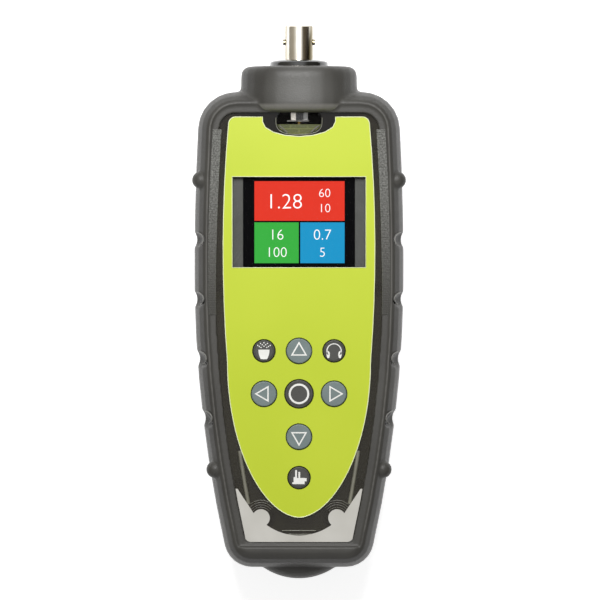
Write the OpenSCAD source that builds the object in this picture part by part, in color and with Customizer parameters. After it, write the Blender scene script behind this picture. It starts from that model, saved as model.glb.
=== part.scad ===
// Handheld vibration meter in a rubber boot.
// The meter lies on its back: X runs across it, Y towards the sensor connector and Z out of its face.
// Inside the modules y is zero at the boot's flat lower edge and z is zero at its back.

/* [Boot] */
// Width of the boot at its widest, without the grip beads
boot_w = 71.8; // [69:0.1:76]
// Width that the lower taper runs down to at the lower edge
boot_low_w = 47.5; // [45:0.5:52]
// Width that the upper taper runs down to at the upper edge
boot_top_w = 67.9; // [65:0.1:69]
// Length of the boot between its flat lower and upper edges
boot_l = 163.1; // [160:0.1:172]
// Depth of the boot from its back to its front rim
boot_d = 39; // [38.5:0.5:44]
// Radius of the boot's lower corners
boot_low_r = 9.6; // [8.5:0.1:12]
// Radius of the boot's upper corners
boot_top_r = 13; // [11:0.5:15]
// Wall of the boot at its sides
boot_wall = 3.3; // [2.8:0.1:4]
// Thickness of the boot's back
boot_back = 2.6; // [2:0.1:3]
// Thickness of the lip that holds the case in
lip_t = 2.4; // [1.8:0.1:3]
// Width of the front rim from the boot's side to its opening
rim_w = 7.3; // [6.5:0.1:8.5]
// Height of the front rim below the opening
rim_low = 8.6; // [7.5:0.1:9.5]
// How far the rounded side edge reaches in over the front and the back
edge_in = 5; // [4:0.5:6]
// How far the rounded side edge reaches down from the front
edge_front = 12; // [8:0.5:14]
// How far the rounded side edge reaches up from the back
edge_back = 9; // [6:0.5:12]
// How far the sides draw in towards the back
side_draft = 1.6; // [0.5:0.1:2]
// Width of the sunk step that runs round the opening
step_w = 2.8; // [2.2:0.1:3.4]
// Width of that step below the opening
step_low_w = 1.5; // [1:0.1:2.2]
// Depth of that step
step_sink = 1; // [0.6:0.1:1.2]

/* [Boot ends] */
// Width of the cap over the connector
cap_w = 39.8; // [36:0.2:44]
// How far the cap stands past the boot's upper edge
cap_l = 8.75; // [7:0.25:11]
// How far the cap stands in front of the rim
cap_rise = 3; // [2:0.5:4]
// Radius of the cap's long corners
cap_r = 16; // [12:0.5:18]
// Rounding of the cap's ends
cap_edge = 3; // [2:0.25:4]
// Radius of the bulge at the lower end
bulge_r = 21.8; // [19:0.2:24]
// How far the bulge stands past the lower edge
bulge_out = 3.95; // [3:0.05:5]
// Thickness of the bulge through the boot
bulge_d = 29; // [24:1:31]
// Rounding of the bulge's rim
bulge_edge = 6; // [3:0.5:8]

/* [Grip] */
// Distance between the grip scoops
grip_pitch = 20.4; // [18:0.2:22]
// Height of the upper grip bead above the boot's lower edge
grip_top_y = 132.7; // [128:0.5:136]
// Height of the lower grip bead above the boot's lower edge
grip_low_y = 33.6; // [31:0.2:36]
// Radius of a grip bead
bead_r = 3; // [2.4:0.1:3.6]
// How far a grip bead's centre lies in from the side
bead_in = 1.7; // [1.4:0.1:2.4]
// Half length of a grip scoop across the rounded edge
scoop_l = 7.5; // [6:0.5:9]
// Radius of a grip scoop
scoop_r = 2.7; // [2.2:0.1:3.2]
// Radius of the shallow groove that runs down the side from each scoop
groove_r = 4.5; // [4:0.1:5.5]
// Depth of that groove
groove_t = 0.9; // [0.5:0.1:1.2]

/* [Case] */
// Wall of the smoked case
case_wall = 2; // [1.6:0.1:2.4]
// Thickness of the front plate
plate_t = 2; // [1.6:0.1:2.2]
// Thickness of the case's back
case_back = 2.2; // [1.8:0.1:2.6]
// Outer radius of the connector neck
neck_r = 15; // [13.5:0.5:16]
// Thickness of the neck's end wall
neck_end_t = 2.6; // [2:0.1:3]
// Distance of the lower case screws from the middle line
boss_x = 13; // [12:0.5:14]
// Height of the lower case screws above the boot's lower edge
boss_y = 17; // [16:0.2:18]
// Radius of the lower screw bosses
boss_r = 4.5; // [4:0.1:4.8]

/* [Face] */
// Thickness of the coloured face label
label_t = 0.6; // [0.4:0.1:0.9]
// Smoked band between the label and the boot's opening at the sides
label_side_gap = 2.6; // [2:0.1:3]
// Gap between the label's top edge and the boot's opening
label_top_gap = 1.5; // [1:0.1:2]
// Height of the label's rounded lower half
label_round_l = 53.2; // [48:0.2:58]
// How far the label's sides bow in towards its ends
label_bow = 1.5; // [0.8:0.1:2]
// Half width of the connector notch in the label
notch_w = 12.5; // [11:0.5:13.5]
// Depth of the connector notch in the label
notch_l = 6.7; // [5.5:0.1:8]
// Width of the label beside the display window
window_side = 3.1; // [2.6:0.1:4]
// Height of the display window
window_l = 31.2; // [30:0.2:33]
// Distance from the label's top edge to the middle of the window
window_drop = 36; // [34:0.5:38]
// Height of the pale trim's two tips above the boot's lower edge
trim_tip_y = 27; // [25:0.5:29]
// Thickness of the pale trim
trim_t = 0.8; // [0.5:0.1:1]

/* [Keys] */
// Diameter of the four arrow keys
arrow_key_d = 8.6; // [8:0.1:9.4]
// Diameter of the middle key
middle_key_d = 9.6; // [9:0.1:10.4]
// Diameter of the three small keys
small_key_d = 7.5; // [7:0.1:8.5]
// Distance between the key columns
key_pitch_x = 12; // [11.5:0.1:13]
// Distance between the key rows
key_pitch_y = 14.7; // [14:0.1:15]
// Distance from the label's top edge to the upper key row
key_drop = 80.1; // [78:0.5:81]
// Distance from the lower arrow key to the lowest key
low_key_drop = 14; // [13:0.1:14.5]
// How far the keys stand above the label
key_rise = 0.7; // [0.5:0.1:1]
// How far a key can be pressed
key_travel = 0.5; // [0.3:0.1:0.6]

/* [Connector] */
// Outer diameter of the connector's barrel
barrel_d = 9.6; // [9.4:0.1:9.8]
// Length of the barrel above the collar
barrel_l = 11.7; // [10.5:0.1:13]
// Size across the two bayonet lugs
lug_span = 11; // [10.8:0.1:11.4]
// Diameter of a bayonet lug
lug_d = 2; // [1.8:0.1:2.2]
// Height of the lugs above the collar
lug_y = 6; // [5:0.1:7]
// Diameter of the black collar
collar_d = 20.2; // [18:0.2:22]
// How far the collar stands out of the boot
collar_l = 2.4; // [2:0.1:3.5]

/* [Battery bay] */
// Width of the battery door
door_w = 36; // [35:0.5:38]
// Length of the battery door
door_l = 76; // [75:1:80]
// Height of the door's lower edge above the boot's lower edge
door_y = 24; // [22:0.5:26]
// Diameter of a battery cell
cell_d = 14.2; // [13.5:0.1:14.4]
// Length of a battery cell
cell_l = 50.2; // [49:0.1:50.5]

/* [Hidden] */
$fn = 64;

// Clearances and the overrun that every cut uses
cut = 1;
fit_gap = 0.1;
key_gap = 0.3;
slice = 0.01;

// Steps of the arcs and of the rounded edges
arc_steps = 6;
side_steps = 9;
edge_step = 22.5;
bow_steps = 8;
label_steps = 24;
key_steps = 4;

// Boot: heights along its length
widest_share = 0.62;
widest_y = boot_l * widest_share;
open_top = boot_l - rim_w;
open_low = rim_low;
cap_top = boot_l + cap_l;
cap_front = boot_d + cap_rise;
cap_lift = 1.2;
cap_foot_gap = 0.3;
cap_foot_y = open_top + cap_foot_gap;
cap_foot_r = 3;
bulge_mid_y = bulge_r - bulge_out;
bulge_lift = 3;
bead_z_share = 0.33;
bead_z = boot_d - edge_front * bead_z_share;
scoop_z_share = 0.55;
scoop_z = boot_d - edge_front * scoop_z_share;
scoop_out = 0.6;
scoop_lean = 28;
scoop_count = 4;
scoop_turn = 6;
groove_out = groove_r - groove_t;

// Case: outline insets from the boot's side, and heights through it
case_in = boot_wall + fit_gap;
room_in = case_in + case_wall;
case_z = boot_back + fit_gap;
back_in_z = case_z + case_back;
front_z = boot_d - lip_t;
plate_z = front_z - plate_t;
axis_z_share = 0.54;
axis_z = boot_d * axis_z_share;
case_top = boot_l - case_in;
neck_top = cap_top - boot_wall;
neck_bore = neck_r - case_wall;
upper_boss_x = half_width(boot_l - boot_top_r) - boot_top_r;
upper_boss_y = boot_l - boot_top_r;
upper_boss_r = 3.6;
case_edge = 2.4;
insert_sink = 1;
insert_end_gap = 0.6;

// Face: label, window and keys
label_top = open_top - label_top_gap;
label_half = boot_w / 2 - rim_w - label_side_gap;
label_widest_drop = 45.4;
label_straight_l = 38.5;
label_widest_y = label_top - label_widest_drop;
label_round_y = label_widest_y - label_straight_l;
label_round_half = label_half - label_bow;
label_round_power = 1.1;
label_corner = 2.4;
notch_round = 5.1;
window_y = label_top - window_drop;
window_w = 2 * (label_half - window_side);
label_z = front_z + label_t;
key_row_1 = label_top - key_drop;
key_row_2 = key_row_1 - key_pitch_y;
key_row_3 = key_row_2 - key_pitch_y;
key_row_4 = key_row_3 - low_key_drop;
KEY_PLACES = [
  [-key_pitch_x, key_row_1, small_key_d], [0, key_row_1, arrow_key_d],
  [key_pitch_x, key_row_1, small_key_d], [-key_pitch_x, key_row_2, arrow_key_d],
  [0, key_row_2, middle_key_d], [key_pitch_x, key_row_2, arrow_key_d],
  [0, key_row_3, arrow_key_d], [0, key_row_4, small_key_d],
];
key_edge = 0.35;
small_margin = 0.5;
middle_margin = 0.65;
margin_t = 0.15;
flange_over = 0.9;
flange_t = 0.9;
plunger_r = 1.3;

// Trim: its inner edge on the left side, mirrored on the right
trim_gap = 0.2;
trim_tip_w = 1;
trim_knob_r = 3;
trim_cusp_x_share = 0.9;
trim_cusp_y_share = 0.63;
trim_low_x_share = 0.73;
trim_low_y_share = 0.87;
trim_cusp = [boss_x + trim_knob_r * trim_cusp_x_share, boss_y + trim_knob_r * trim_cusp_y_share];
trim_low_cusp = [boss_x - trim_knob_r * trim_low_x_share, boss_y - trim_knob_r * trim_low_y_share];
trim_sag = 3.4;

// Board and what stands on it
board_t = 1.6;
board_drop = 6;
board_z = plate_z - board_drop;
board_top_z = board_z + board_t;
board_gap = 0.5;
board_top_gap = 3.9;
board_low_gap = 4.1;
board_top_y = open_top - board_top_gap;
board_low_y = open_low + board_low_gap;
switch_w = 5;
switch_t = 1.1;
switch_dome_r = 1.5;
switch_dome_t = 0.5;
switch_top_z = board_top_z + switch_t + switch_dome_t;
plunger_gap = key_travel + fit_gap;
frame_over = 2;
frame_w = window_w + 2 * frame_over;
frame_l = window_l + 2 * frame_over;
panel_side = 3.8;
panel_end = 0.3;
panel_sink = 0.4;
panel_w = window_w - 2 * panel_side;
panel_l = window_l - 2 * panel_end;
panel_t = 2.6;
panel_z = plate_z - panel_sink - panel_t;
ribbon_w = 12;
ribbon_l = 4;
ribbon_t = 0.3;
chip_w = 9;
chip_pitch = 12.5;
chip_t = 1.4;
chip_gap = 8;
post_r = 3;
post_gap = 6;
post_bite_share = 0.8;
POST_HEIGHTS = [
  boss_y + boss_r + post_gap, window_y - frame_l / 2 - post_gap, window_y + frame_l / 2 + post_gap,
];

// Connector: lengths along its axis from the neck's outer end
collar_r = collar_d / 2;
collar_round_share = 0.34;
collar_top = cap_top + collar_l;
barrel_r = barrel_d / 2;
barrel_top = collar_top + barrel_l;
overall_low = -bulge_out;
overall_l = barrel_top - overall_low;
socket_r = 4.05;
socket_depth = 8.5;
core_r = 2.4;
core_drop = 2.2;
contact_r = 1;
contact_bore = 0.55;
contact_drop = 0.5;
contact_slot = 0.3;
contact_slot_l = 4;
contact_tail = 1.6;
mouth_bevel = 0.35;
thread_r = barrel_r - fit_gap;
tail_r = 3.2;
tail_flange_r = 3.8;
tail_flange_t = 0.6;
tail_gap = 1;
tail_end = board_top_y + tail_gap;
washer_r = 6.4;
washer_t = 0.6;
nut_af = 12.7;
nut_t = 2.2;
neck_in_y = neck_top - neck_end_t;
washer_y = neck_in_y - washer_t;
nut_y = washer_y - nut_t;
rib_half_w = 8;
rib_l = 4.6;
rib_t = 0.9;
rib_drop = 3.2;
side_rib_t = 1.4;
side_rib_off = 3.7;
side_rib_in = rim_w + side_rib_off;
side_rib_gap = 0.5;
side_rib_low = boss_y + boss_r + side_rib_gap;
side_rib_l = 36;
cross_rib_drop = 5.7;
cross_rib_y = boss_y - cross_rib_drop;
cross_rib_half = boss_x - boss_r;

// Screws and inserts
screw_r = 1.5;
screw_head_r = 2.7;
screw_head_t = 2;
screw_slot = 0.8;
screw_slot_t = 0.9;
insert_r = 2.2;
insert_l = 5.6;
head_sink = 3.4;
head_z = case_z + head_sink;
case_screw_end = axis_z + insert_sink + insert_l;

// Battery bay: the door lies in the case's back on its seal and a ledge
door_t = case_back;
door_r = 3;
door_gap = 0.4;
window_gap = 1;
seal_t = 0.6;
seal_w = 1.1;
ledge_w = 1.6;
ledge_t = 1.2;
ledge_z = back_in_z + seal_t;
bay_wall = 1.6;
cell_gap = 0.5;
cell_z = ledge_z + cell_gap + cell_d / 2;
bay_w = 2 * cell_d + 3 * cell_gap;
contact_t = 0.4;
contact_room = 3;
bay_l = cell_l + 2 * contact_room;
bay_y = door_y + door_l / 2;
bay_top_z = cell_z + cell_d / 2 + cell_gap;
bay_roof = 1.2;
bay_low = bay_y - bay_l / 2;
bay_high = bay_y + bay_l / 2;
door_screw_in = 4.6;
door_screw_low_y = door_y + door_screw_in;
door_screw_high_y = door_y + door_l - door_screw_in;
door_boss_r = 3.6;
door_screw_l = 9;
door_head_share = 0.6;
door_head_t = door_t * door_head_share;
cell_x = (cell_d + cell_gap) / 2;
cell_nub_r = 2.7;
cell_nub_l = 1.2;
leaf_w = 8;
leaf_rise = contact_room - contact_t;
leaf_out_share = 0.8;
leaf_in_share = 0.6;
seal_in_share = 0.3;

// Half width of the boot's side curve, its slope, and the angle at which a corner arc meets it
function half_width(y) = y < widest_y
  ? boot_w / 2 - (boot_w - boot_low_w) / 2 * pow((widest_y - y) / widest_y, 2)
  : boot_w / 2 - (boot_w - boot_top_w) / 2 * pow((y - widest_y) / (boot_l - widest_y), 2);
function side_slope(y) = y < widest_y
  ? (boot_w - boot_low_w) * (widest_y - y) / pow(widest_y, 2)
  : -(boot_w - boot_top_w) * (y - widest_y) / pow(boot_l - widest_y, 2);
function arc(mid, r, from, to, steps) = [
  for (i = [0:steps])
    let (a = from + (to - from) * i / steps)
      [mid.x + r * cos(a), mid.y + r * sin(a)],
];
function mirrored(points) = [for (i = [len(points) - 1:-1:0]) [-points[i].x, points[i].y]];

low_angle = -atan(side_slope(boot_low_r));
top_angle = -atan(side_slope(boot_l - boot_top_r));
low_end_y = boot_low_r * (1 + sin(low_angle));
top_end_y = boot_l - boot_top_r * (1 - sin(top_angle));
boot_side_points = concat(
  arc([half_width(low_end_y) - boot_low_r * cos(low_angle), boot_low_r], boot_low_r, -90, low_angle, arc_steps),
  [
    for (i = [1:side_steps])
      let (y = low_end_y + (top_end_y - low_end_y) * i / (side_steps + 1))
        [half_width(y), y],
  ],
  arc([half_width(top_end_y) - boot_top_r * cos(top_angle), boot_l - boot_top_r], boot_top_r, top_angle, 90, arc_steps)
);

// The boot's outline, moved in by a given distance
module boot_outline(inset = 0) {
  offset(delta = -inset)
    polygon(concat(boot_side_points, mirrored(boot_side_points)));
}

// The outline of the front opening, moved out by one distance, and by another at its lower edge
module opening_outline(grow = 0, low_grow = 0) {
  intersection() {
    boot_outline(rim_w - grow);
    translate([-boot_w, open_low - low_grow])
      square([2 * boot_w, open_top - open_low + low_grow + grow]);
  }
}

module slab(z, t) {
  translate([0, 0, z])
    linear_extrude(t)
      children();
}

module both_sides() {
  children();
  mirror([1, 0, 0])
    children();
}

// A turned piece on the connector's axis: its profile's x is the radius and its y runs along +Y
module on_axis(y = 0) {
  translate([0, y, axis_z])
    rotate([-90, 0, 0])
      children();
}

// Everything is drawn round the middle of the meter's length
module placed(tint) {
  color(tint)
    translate([0, -overall_low - overall_l / 2, 0])
      children();
}

// Rounded-off slices of an outline between the back and the front, joined into one skin
module boot_body() {
  hull() {
    for (a = [0:edge_step:90]) {
      slab(boot_d - edge_front * (1 - sin(a)) - slice, slice)
        boot_outline(edge_in * (1 - cos(a)));
      slab(edge_back * (1 - sin(a)), slice)
        boot_outline(side_draft + edge_in * (1 - cos(a)));
    }
    slab(axis_z, slice)
      boot_outline();
  }
}

// The case's outside up to a given height, with the sides drawn in towards a rounded back
module case_body(grow, top) {
  hull() {
    slab(case_z - grow, slice)
      boot_outline(case_in + side_draft + case_edge - grow);
    slab(case_z + case_edge, slice)
      boot_outline(case_in + side_draft - grow);
    slab(axis_z - slice, top - axis_z + slice)
      boot_outline(case_in - grow);
  }
}

module cap_section(inset) {
  half_w = cap_w / 2 - inset;
  half_h = (cap_front - cap_lift) / 2 - inset;
  r = cap_r - inset;
  translate([0, cap_lift + inset + half_h])
    polygon(concat(
      arc([half_w - r, r - half_h], r, -90, 0, arc_steps),
      arc([half_w - r, half_h - r], r, 0, 90, arc_steps),
      arc([r - half_w, half_h - r], r, 90, 180, arc_steps),
      arc([r - half_w, r - half_h], r, 180, 270, arc_steps)
    ));
}

module cap_body() {
  hull() {
    for (a = [0:edge_step:90])
      translate([0, cap_top - cap_edge * (1 - sin(a)), 0])
        rotate([90, 0, 0])
          linear_extrude(slice)
            cap_section(cap_edge * (1 - cos(a)));
    for (a = [0:edge_step:90])
      translate([0, cap_foot_y + slice + cap_foot_r * (1 - sin(a)), 0])
        rotate([90, 0, 0])
          linear_extrude(slice)
            cap_section(cap_foot_r * (1 - cos(a)));
  }
}

module bulge_body() {
  half_d = bulge_d / 2;
  flat_r = bulge_r - bulge_edge;
  translate([0, bulge_mid_y, bulge_lift + half_d])
    rotate_extrude()
      polygon(concat(
        [[0, -half_d]],
        arc([flat_r, bulge_edge - half_d], bulge_edge, -90, 0, arc_steps),
        arc([flat_r, half_d - bulge_edge], bulge_edge, 0, 90, arc_steps),
        [[0, half_d]]
      ));
}

module grip_beads() {
  for (y = [grip_top_y, grip_low_y])
    translate([half_width(y) - bead_in, y, bead_z])
      sphere(bead_r);
}

// A scoop is a spindle laid across the rounded edge, with a shallow groove below it down the side.
// The lower ones turn to run out downwards.
module grip_scoops() {
  for (i = [1:scoop_count]) {
    y = grip_top_y - i * grip_pitch;
    translate([half_width(y) + scoop_out, y, scoop_z])
      rotate([scoop_turn * (i - 1), -scoop_lean, 0])
        rotate_extrude()
          polygon(spindle_points);
    translate([half_width(y) + groove_out, y, edge_back])
      rotate_extrude()
        polygon(groove_points);
  }
}

groove_l = scoop_z - edge_back;
groove_points = concat(
  [for (a = [-90:edge_step:0]) [groove_r * cos(a), groove_r * sin(a)]],
  [[groove_r, groove_l], [0, groove_l]]
);
spindle_points = [
  for (i = [-arc_steps:arc_steps])
    let (a = 90 * i / arc_steps)
      [scoop_r * cos(a), scoop_l * sin(a)],
];

module rounded_plate(w, l, r) {
  square([w - 2 * r, l], center = true);
  square([w, l - 2 * r], center = true);
  for (x = [r - w / 2, w / 2 - r])
    for (y = [r - l / 2, l / 2 - r])
      translate([x, y])
        circle(r);
}

module door_outline(grow = 0) {
  translate([0, bay_y])
    rounded_plate(door_w + 2 * grow, door_l + 2 * grow, door_r + grow);
}

module boot() {
  placed("#585751")
    difference() {
      union() {
        difference() {
          union() {
            boot_body();
            bulge_body();
            both_sides()
              grip_beads();
          }
          slab(boot_d - step_sink, step_sink + cut)
            opening_outline(step_w, step_low_w);
        }
        cap_body();
      }
      case_body(fit_gap, front_z);
      on_axis(case_top - cut)
        cylinder(r = neck_r + fit_gap, h = neck_top - case_top + cut);
      on_axis(neck_top - cut)
        cylinder(r = collar_r + fit_gap, h = boot_wall + 2 * cut);
      slab(front_z - cut, lip_t + cap_rise + 2 * cut)
        opening_outline();
      both_sides()
        grip_scoops();
      slab(-cut, boot_back + 2 * cut)
        door_outline(window_gap);
    }
}

// Half of the neck, on the side of the case's joint that the sign picks
module neck_half(r, from, to, side) {
  intersection() {
    on_axis(from)
      cylinder(r = r, h = to - from);
    translate([-boot_w, from - cut, side > 0 ? axis_z : -cut])
      cube([2 * boot_w, to - from + 2 * cut, side > 0 ? boot_d : axis_z + cut]);
  }
}

module front_bosses() {
  boss_h = plate_z - axis_z;
  translate([boss_x, boss_y, axis_z])
    cylinder(r = boss_r, h = boss_h);
  translate([upper_boss_x, upper_boss_y, axis_z])
    cylinder(r = upper_boss_r, h = boss_h);
}

module screw_places() {
  both_sides() {
    translate([boss_x, boss_y, 0])
      children();
    translate([upper_boss_x, upper_boss_y, 0])
      children();
  }
}

// The U-shaped rib that stands inside the front plate round the connector's tail
module notch_rib() {
  slab(plate_z - rib_drop, rib_drop)
    translate([0, tail_end])
      difference() {
        polygon(u_points(rib_half_w, rib_l, rib_t));
        polygon(u_points(rib_half_w - rib_t, rib_l - rib_t, rib_t + cut));
      }
}

// Ribs that stiffen the front plate beside the label's narrow end and below it
module plate_ribs() {
  slab(plate_z - rib_drop, rib_drop) {
    intersection() {
      difference() {
        boot_outline(side_rib_in);
        boot_outline(side_rib_in + side_rib_t);
      }
      translate([-boot_w, side_rib_low])
        square([2 * boot_w, side_rib_l]);
    }
    translate([-cross_rib_half, cross_rib_y])
      square([2 * cross_rib_half, side_rib_t]);
  }
}

function u_points(half_w, l, top) = concat(
  [[half_w, top], [-half_w, top]],
  [for (i = [0:bow_steps]) let (a = 180 + 180 * i / bow_steps) [half_w * cos(a), l * sin(a)]]
);

// The board is held between three pairs of posts beside the side walls
module post_places() {
  for (y = POST_HEIGHTS)
    translate([half_width(y) - room_in - side_draft - post_r * post_bite_share, y, 0])
      children();
}

module front_case() {
  placed([0.25, 0.23, 0.2, 0.6])
    difference() {
      union() {
        difference() {
          slab(axis_z, front_z - axis_z)
            boot_outline(case_in);
          slab(axis_z - cut, plate_z - axis_z + cut)
            boot_outline(room_in);
        }
        neck_half(neck_r, case_top - case_wall, neck_top, 1);
        both_sides() {
          front_bosses();
          post_places()
            translate([0, 0, board_top_z])
              cylinder(r = post_r, h = plate_z - board_top_z);
        }
        notch_rib();
        plate_ribs();
      }
      neck_half(neck_bore, case_top - case_wall - cut, neck_in_y, 1);
      on_axis(neck_in_y - cut)
        cylinder(r = barrel_r + fit_gap, h = neck_end_t + 2 * cut);
      slab(plate_z - cut, plate_t + 2 * cut)
        window_outline(0);
      for (p = KEY_PLACES)
        translate([p.x, p.y, plate_z - cut])
          cylinder(r = p.z / 2 + key_gap, h = plate_t + 2 * cut);
      screw_places()
        translate([0, 0, axis_z - cut])
          cylinder(r = insert_r, h = cut + insert_sink + insert_l + insert_end_gap);
    }
}

module bay_box(grow, from, to) {
  translate([-bay_w / 2 - grow, bay_low - grow, from])
    cube([bay_w + 2 * grow, bay_l + 2 * grow, to - from]);
}

module door_boss_places() {
  for (y = [door_screw_low_y, door_screw_high_y])
    translate([0, y, 0])
      children();
}

module rear_case() {
  placed("#3a3935")
    difference() {
      union() {
        difference() {
          case_body(0, axis_z);
          slab(back_in_z, axis_z - back_in_z + cut)
            boot_outline(room_in + side_draft);
        }
        neck_half(neck_r, case_top - case_wall, neck_top, -1);
        slab(back_in_z, seal_t + ledge_t)
          door_outline(ledge_w);
        bay_box(bay_wall, back_in_z, bay_top_z + bay_roof);
        screw_places()
          translate([0, 0, case_z])
            cylinder(r = upper_boss_r, h = axis_z - case_z);
        door_boss_places()
          translate([0, 0, ledge_z])
            cylinder(r = door_boss_r, h = door_screw_l);
        both_sides()
          post_places()
            translate([0, 0, back_in_z - fit_gap])
              cylinder(r = post_r, h = board_z - back_in_z + fit_gap);
      }
      neck_half(neck_bore, case_top - case_wall - case_edge - cut, neck_in_y, -1);
      on_axis(neck_in_y - cut)
        cylinder(r = barrel_r + fit_gap, h = neck_end_t + 2 * cut);
      slab(case_z - cut, ledge_z - case_z + cut)
        door_outline(door_gap);
      bay_box(0, ledge_z - cut, bay_top_z);
      screw_places() {
        translate([0, 0, case_z - cut])
          cylinder(r = screw_r + fit_gap, h = axis_z);
        translate([0, 0, case_z - cut])
          cylinder(r = screw_head_r + fit_gap, h = head_z - case_z + cut);
      }
      door_boss_places() {
        translate([0, 0, ledge_z - cut])
          cylinder(r = insert_r, h = insert_l + cut);
        translate([0, 0, ledge_z - cut])
          cylinder(r = screw_r + fit_gap, h = door_screw_l - door_t - seal_t + insert_end_gap + cut);
      }
      slab(axis_z - seal_t, seal_t + cut)
        seal_outline(0);
    }
}

// The joint seal follows the case's edge and stops at the neck
module seal_outline(gap) {
  difference() {
    boot_outline(case_in + case_wall * seal_in_share + gap);
    boot_outline(room_in - case_wall * seal_in_share - gap);
    translate([-neck_r - gap, case_top - boot_top_r])
      square([2 * (neck_r + gap), 2 * boot_top_r]);
  }
}

module case_seal() {
  placed("#1c1c1a")
    slab(axis_z - seal_t, seal_t)
      seal_outline(fit_gap / 2);
}

module slotted_screw(head_r, head_t, shank_l) {
  difference() {
    union() {
      cylinder(r = head_r, h = head_t);
      cylinder(r = screw_r, h = head_t + shank_l);
    }
    translate([-head_r - cut, -screw_slot / 2, -cut])
      cube([2 * (head_r + cut), screw_slot, screw_slot_t + cut]);
  }
}

module case_screws() {
  placed("#8f8f8c")
    screw_places()
      translate([0, 0, head_z - screw_head_t])
        slotted_screw(screw_head_r, screw_head_t, case_screw_end - head_z);
}

module insert() {
  difference() {
    cylinder(r = insert_r, h = insert_l);
    translate([0, 0, -cut])
      cylinder(r = screw_r + fit_gap, h = insert_l + 2 * cut);
  }
}

module thread_inserts() {
  placed("#b9974e") {
    screw_places()
      translate([0, 0, axis_z + insert_sink])
        insert();
    door_boss_places()
      translate([0, 0, ledge_z])
        insert();
  }
}

// The label's right side from the bottom to the top corner
label_side_points = concat(
  [
    for (i = [0:label_steps])
      let (a = -90 + 90 * i / label_steps)
        [label_round_half * pow(cos(a), label_round_power), label_round_y + label_round_l * sin(a)],
  ],
  [
    for (i = [1:bow_steps])
      let (y = label_round_y + (label_top - label_corner - label_round_y) * i / bow_steps)
        [label_half - label_bow * pow((y - label_widest_y) / label_straight_l, 2), y],
  ]
);
label_shoulder = label_side_points[len(label_side_points) - 1];

module label_outline() {
  difference() {
    polygon(concat(
      label_side_points,
      arc([label_shoulder.x - label_corner, label_shoulder.y], label_corner, 0, 90, arc_steps),
      mirrored(arc([label_shoulder.x - label_corner, label_shoulder.y], label_corner, 0, 90, arc_steps)),
      mirrored(label_side_points)
    ));
    polygon(concat(
      [[notch_w, label_top + cut], [-notch_w, label_top + cut]],
      [
        for (i = [0:bow_steps])
          let (a = 180 + 180 * i / bow_steps)
            [notch_w * cos(a), label_top - (notch_l - notch_round) + notch_round * sin(a)],
      ]
    ));
  }
}

module window_outline(gap) {
  translate([-window_w / 2 + gap, window_y - window_l / 2 + gap])
    square([window_w - 2 * gap, window_l - 2 * gap]);
}

module face_label() {
  placed("#cbdc55")
    difference() {
      slab(front_z, label_t)
        label_outline();
      slab(front_z - cut, label_t + 2 * cut)
        window_outline(0);
      for (p = KEY_PLACES)
        translate([p.x, p.y, front_z - cut])
          cylinder(r = p.z / 2 + key_gap, h = label_t + 2 * cut);
    }
}

// The pale trim fills the lower corners of the opening and rises to a tip on each side
module trim_outline() {
  sag_r = (pow(trim_low_cusp.x, 2) + pow(trim_sag, 2)) / (2 * trim_sag);
  sag_angle = asin(trim_low_cusp.x / sag_r);
  tip_x = half_width(trim_tip_y) - rim_w - trim_tip_w;
  right_edge = concat(
    [[boot_w, -cut], [boot_w, trim_tip_y], [tip_x, trim_tip_y], trim_cusp],
    arc([0, trim_low_cusp.y - trim_sag + sag_r], sag_r, sag_angle - 90, -90, bow_steps)
  );
  intersection() {
    opening_outline(-trim_gap, -trim_gap);
    union() {
      polygon(concat(right_edge, mirrored(right_edge)));
      for (x = [-boss_x, boss_x])
        translate([x, boss_y])
          circle(trim_knob_r);
    }
  }
}

module lower_trim() {
  placed("#c4c1b8")
    slab(front_z, trim_t)
      trim_outline();
}

module display_window() {
  placed([0.8, 0.85, 0.85, 0.35])
    slab(plate_z, label_z - plate_z)
      window_outline(fit_gap);
}

module display_frame() {
  placed("#505250")
    difference() {
      translate([-frame_w / 2, window_y - frame_l / 2, board_top_z])
        cube([frame_w, frame_l, plate_z - board_top_z]);
      translate([-panel_w / 2 - fit_gap, window_y - panel_l / 2 - fit_gap, panel_z])
        cube([panel_w + 2 * fit_gap, panel_l + 2 * fit_gap, boot_d]);
    }
}

module display_panel() {
  placed("#15171a")
    translate([-panel_w / 2, window_y - panel_l / 2, panel_z])
      cube([panel_w, panel_l, panel_t]);
}

module display_ribbon() {
  placed("#a5783a")
    translate([-ribbon_w / 2, window_y - frame_l / 2 - ribbon_l, board_top_z])
      cube([ribbon_w, ribbon_l, ribbon_t]);
}

module main_board() {
  placed("#4f5a32")
    difference() {
      slab(board_z, board_t)
        intersection() {
          boot_outline(room_in + board_gap);
          translate([-boot_w, board_low_y])
            square([2 * boot_w, board_top_y - board_low_y]);
        }
      both_sides() {
        translate([upper_boss_x, upper_boss_y, board_z - cut])
          cylinder(r = upper_boss_r + board_gap, h = board_t + 2 * cut);
        translate([boss_x, boss_y, board_z - cut])
          cylinder(r = boss_r + board_gap, h = board_t + 2 * cut);
      }
    }
}

module board_chips() {
  placed("#1d1e1f")
    for (x = [-chip_pitch, 0, chip_pitch])
      translate([x - chip_w / 2, bay_high + chip_gap, board_z - chip_t])
        cube([chip_w, chip_w, chip_t]);
}

module key_switches() {
  placed("#c9c9c2")
    for (p = KEY_PLACES) {
      translate([p.x - switch_w / 2, p.y - switch_w / 2, board_top_z])
        cube([switch_w, switch_w, switch_t]);
      translate([p.x, p.y, board_top_z])
        cylinder(r = switch_dome_r, h = switch_t + switch_dome_t);
    }
}

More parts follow.
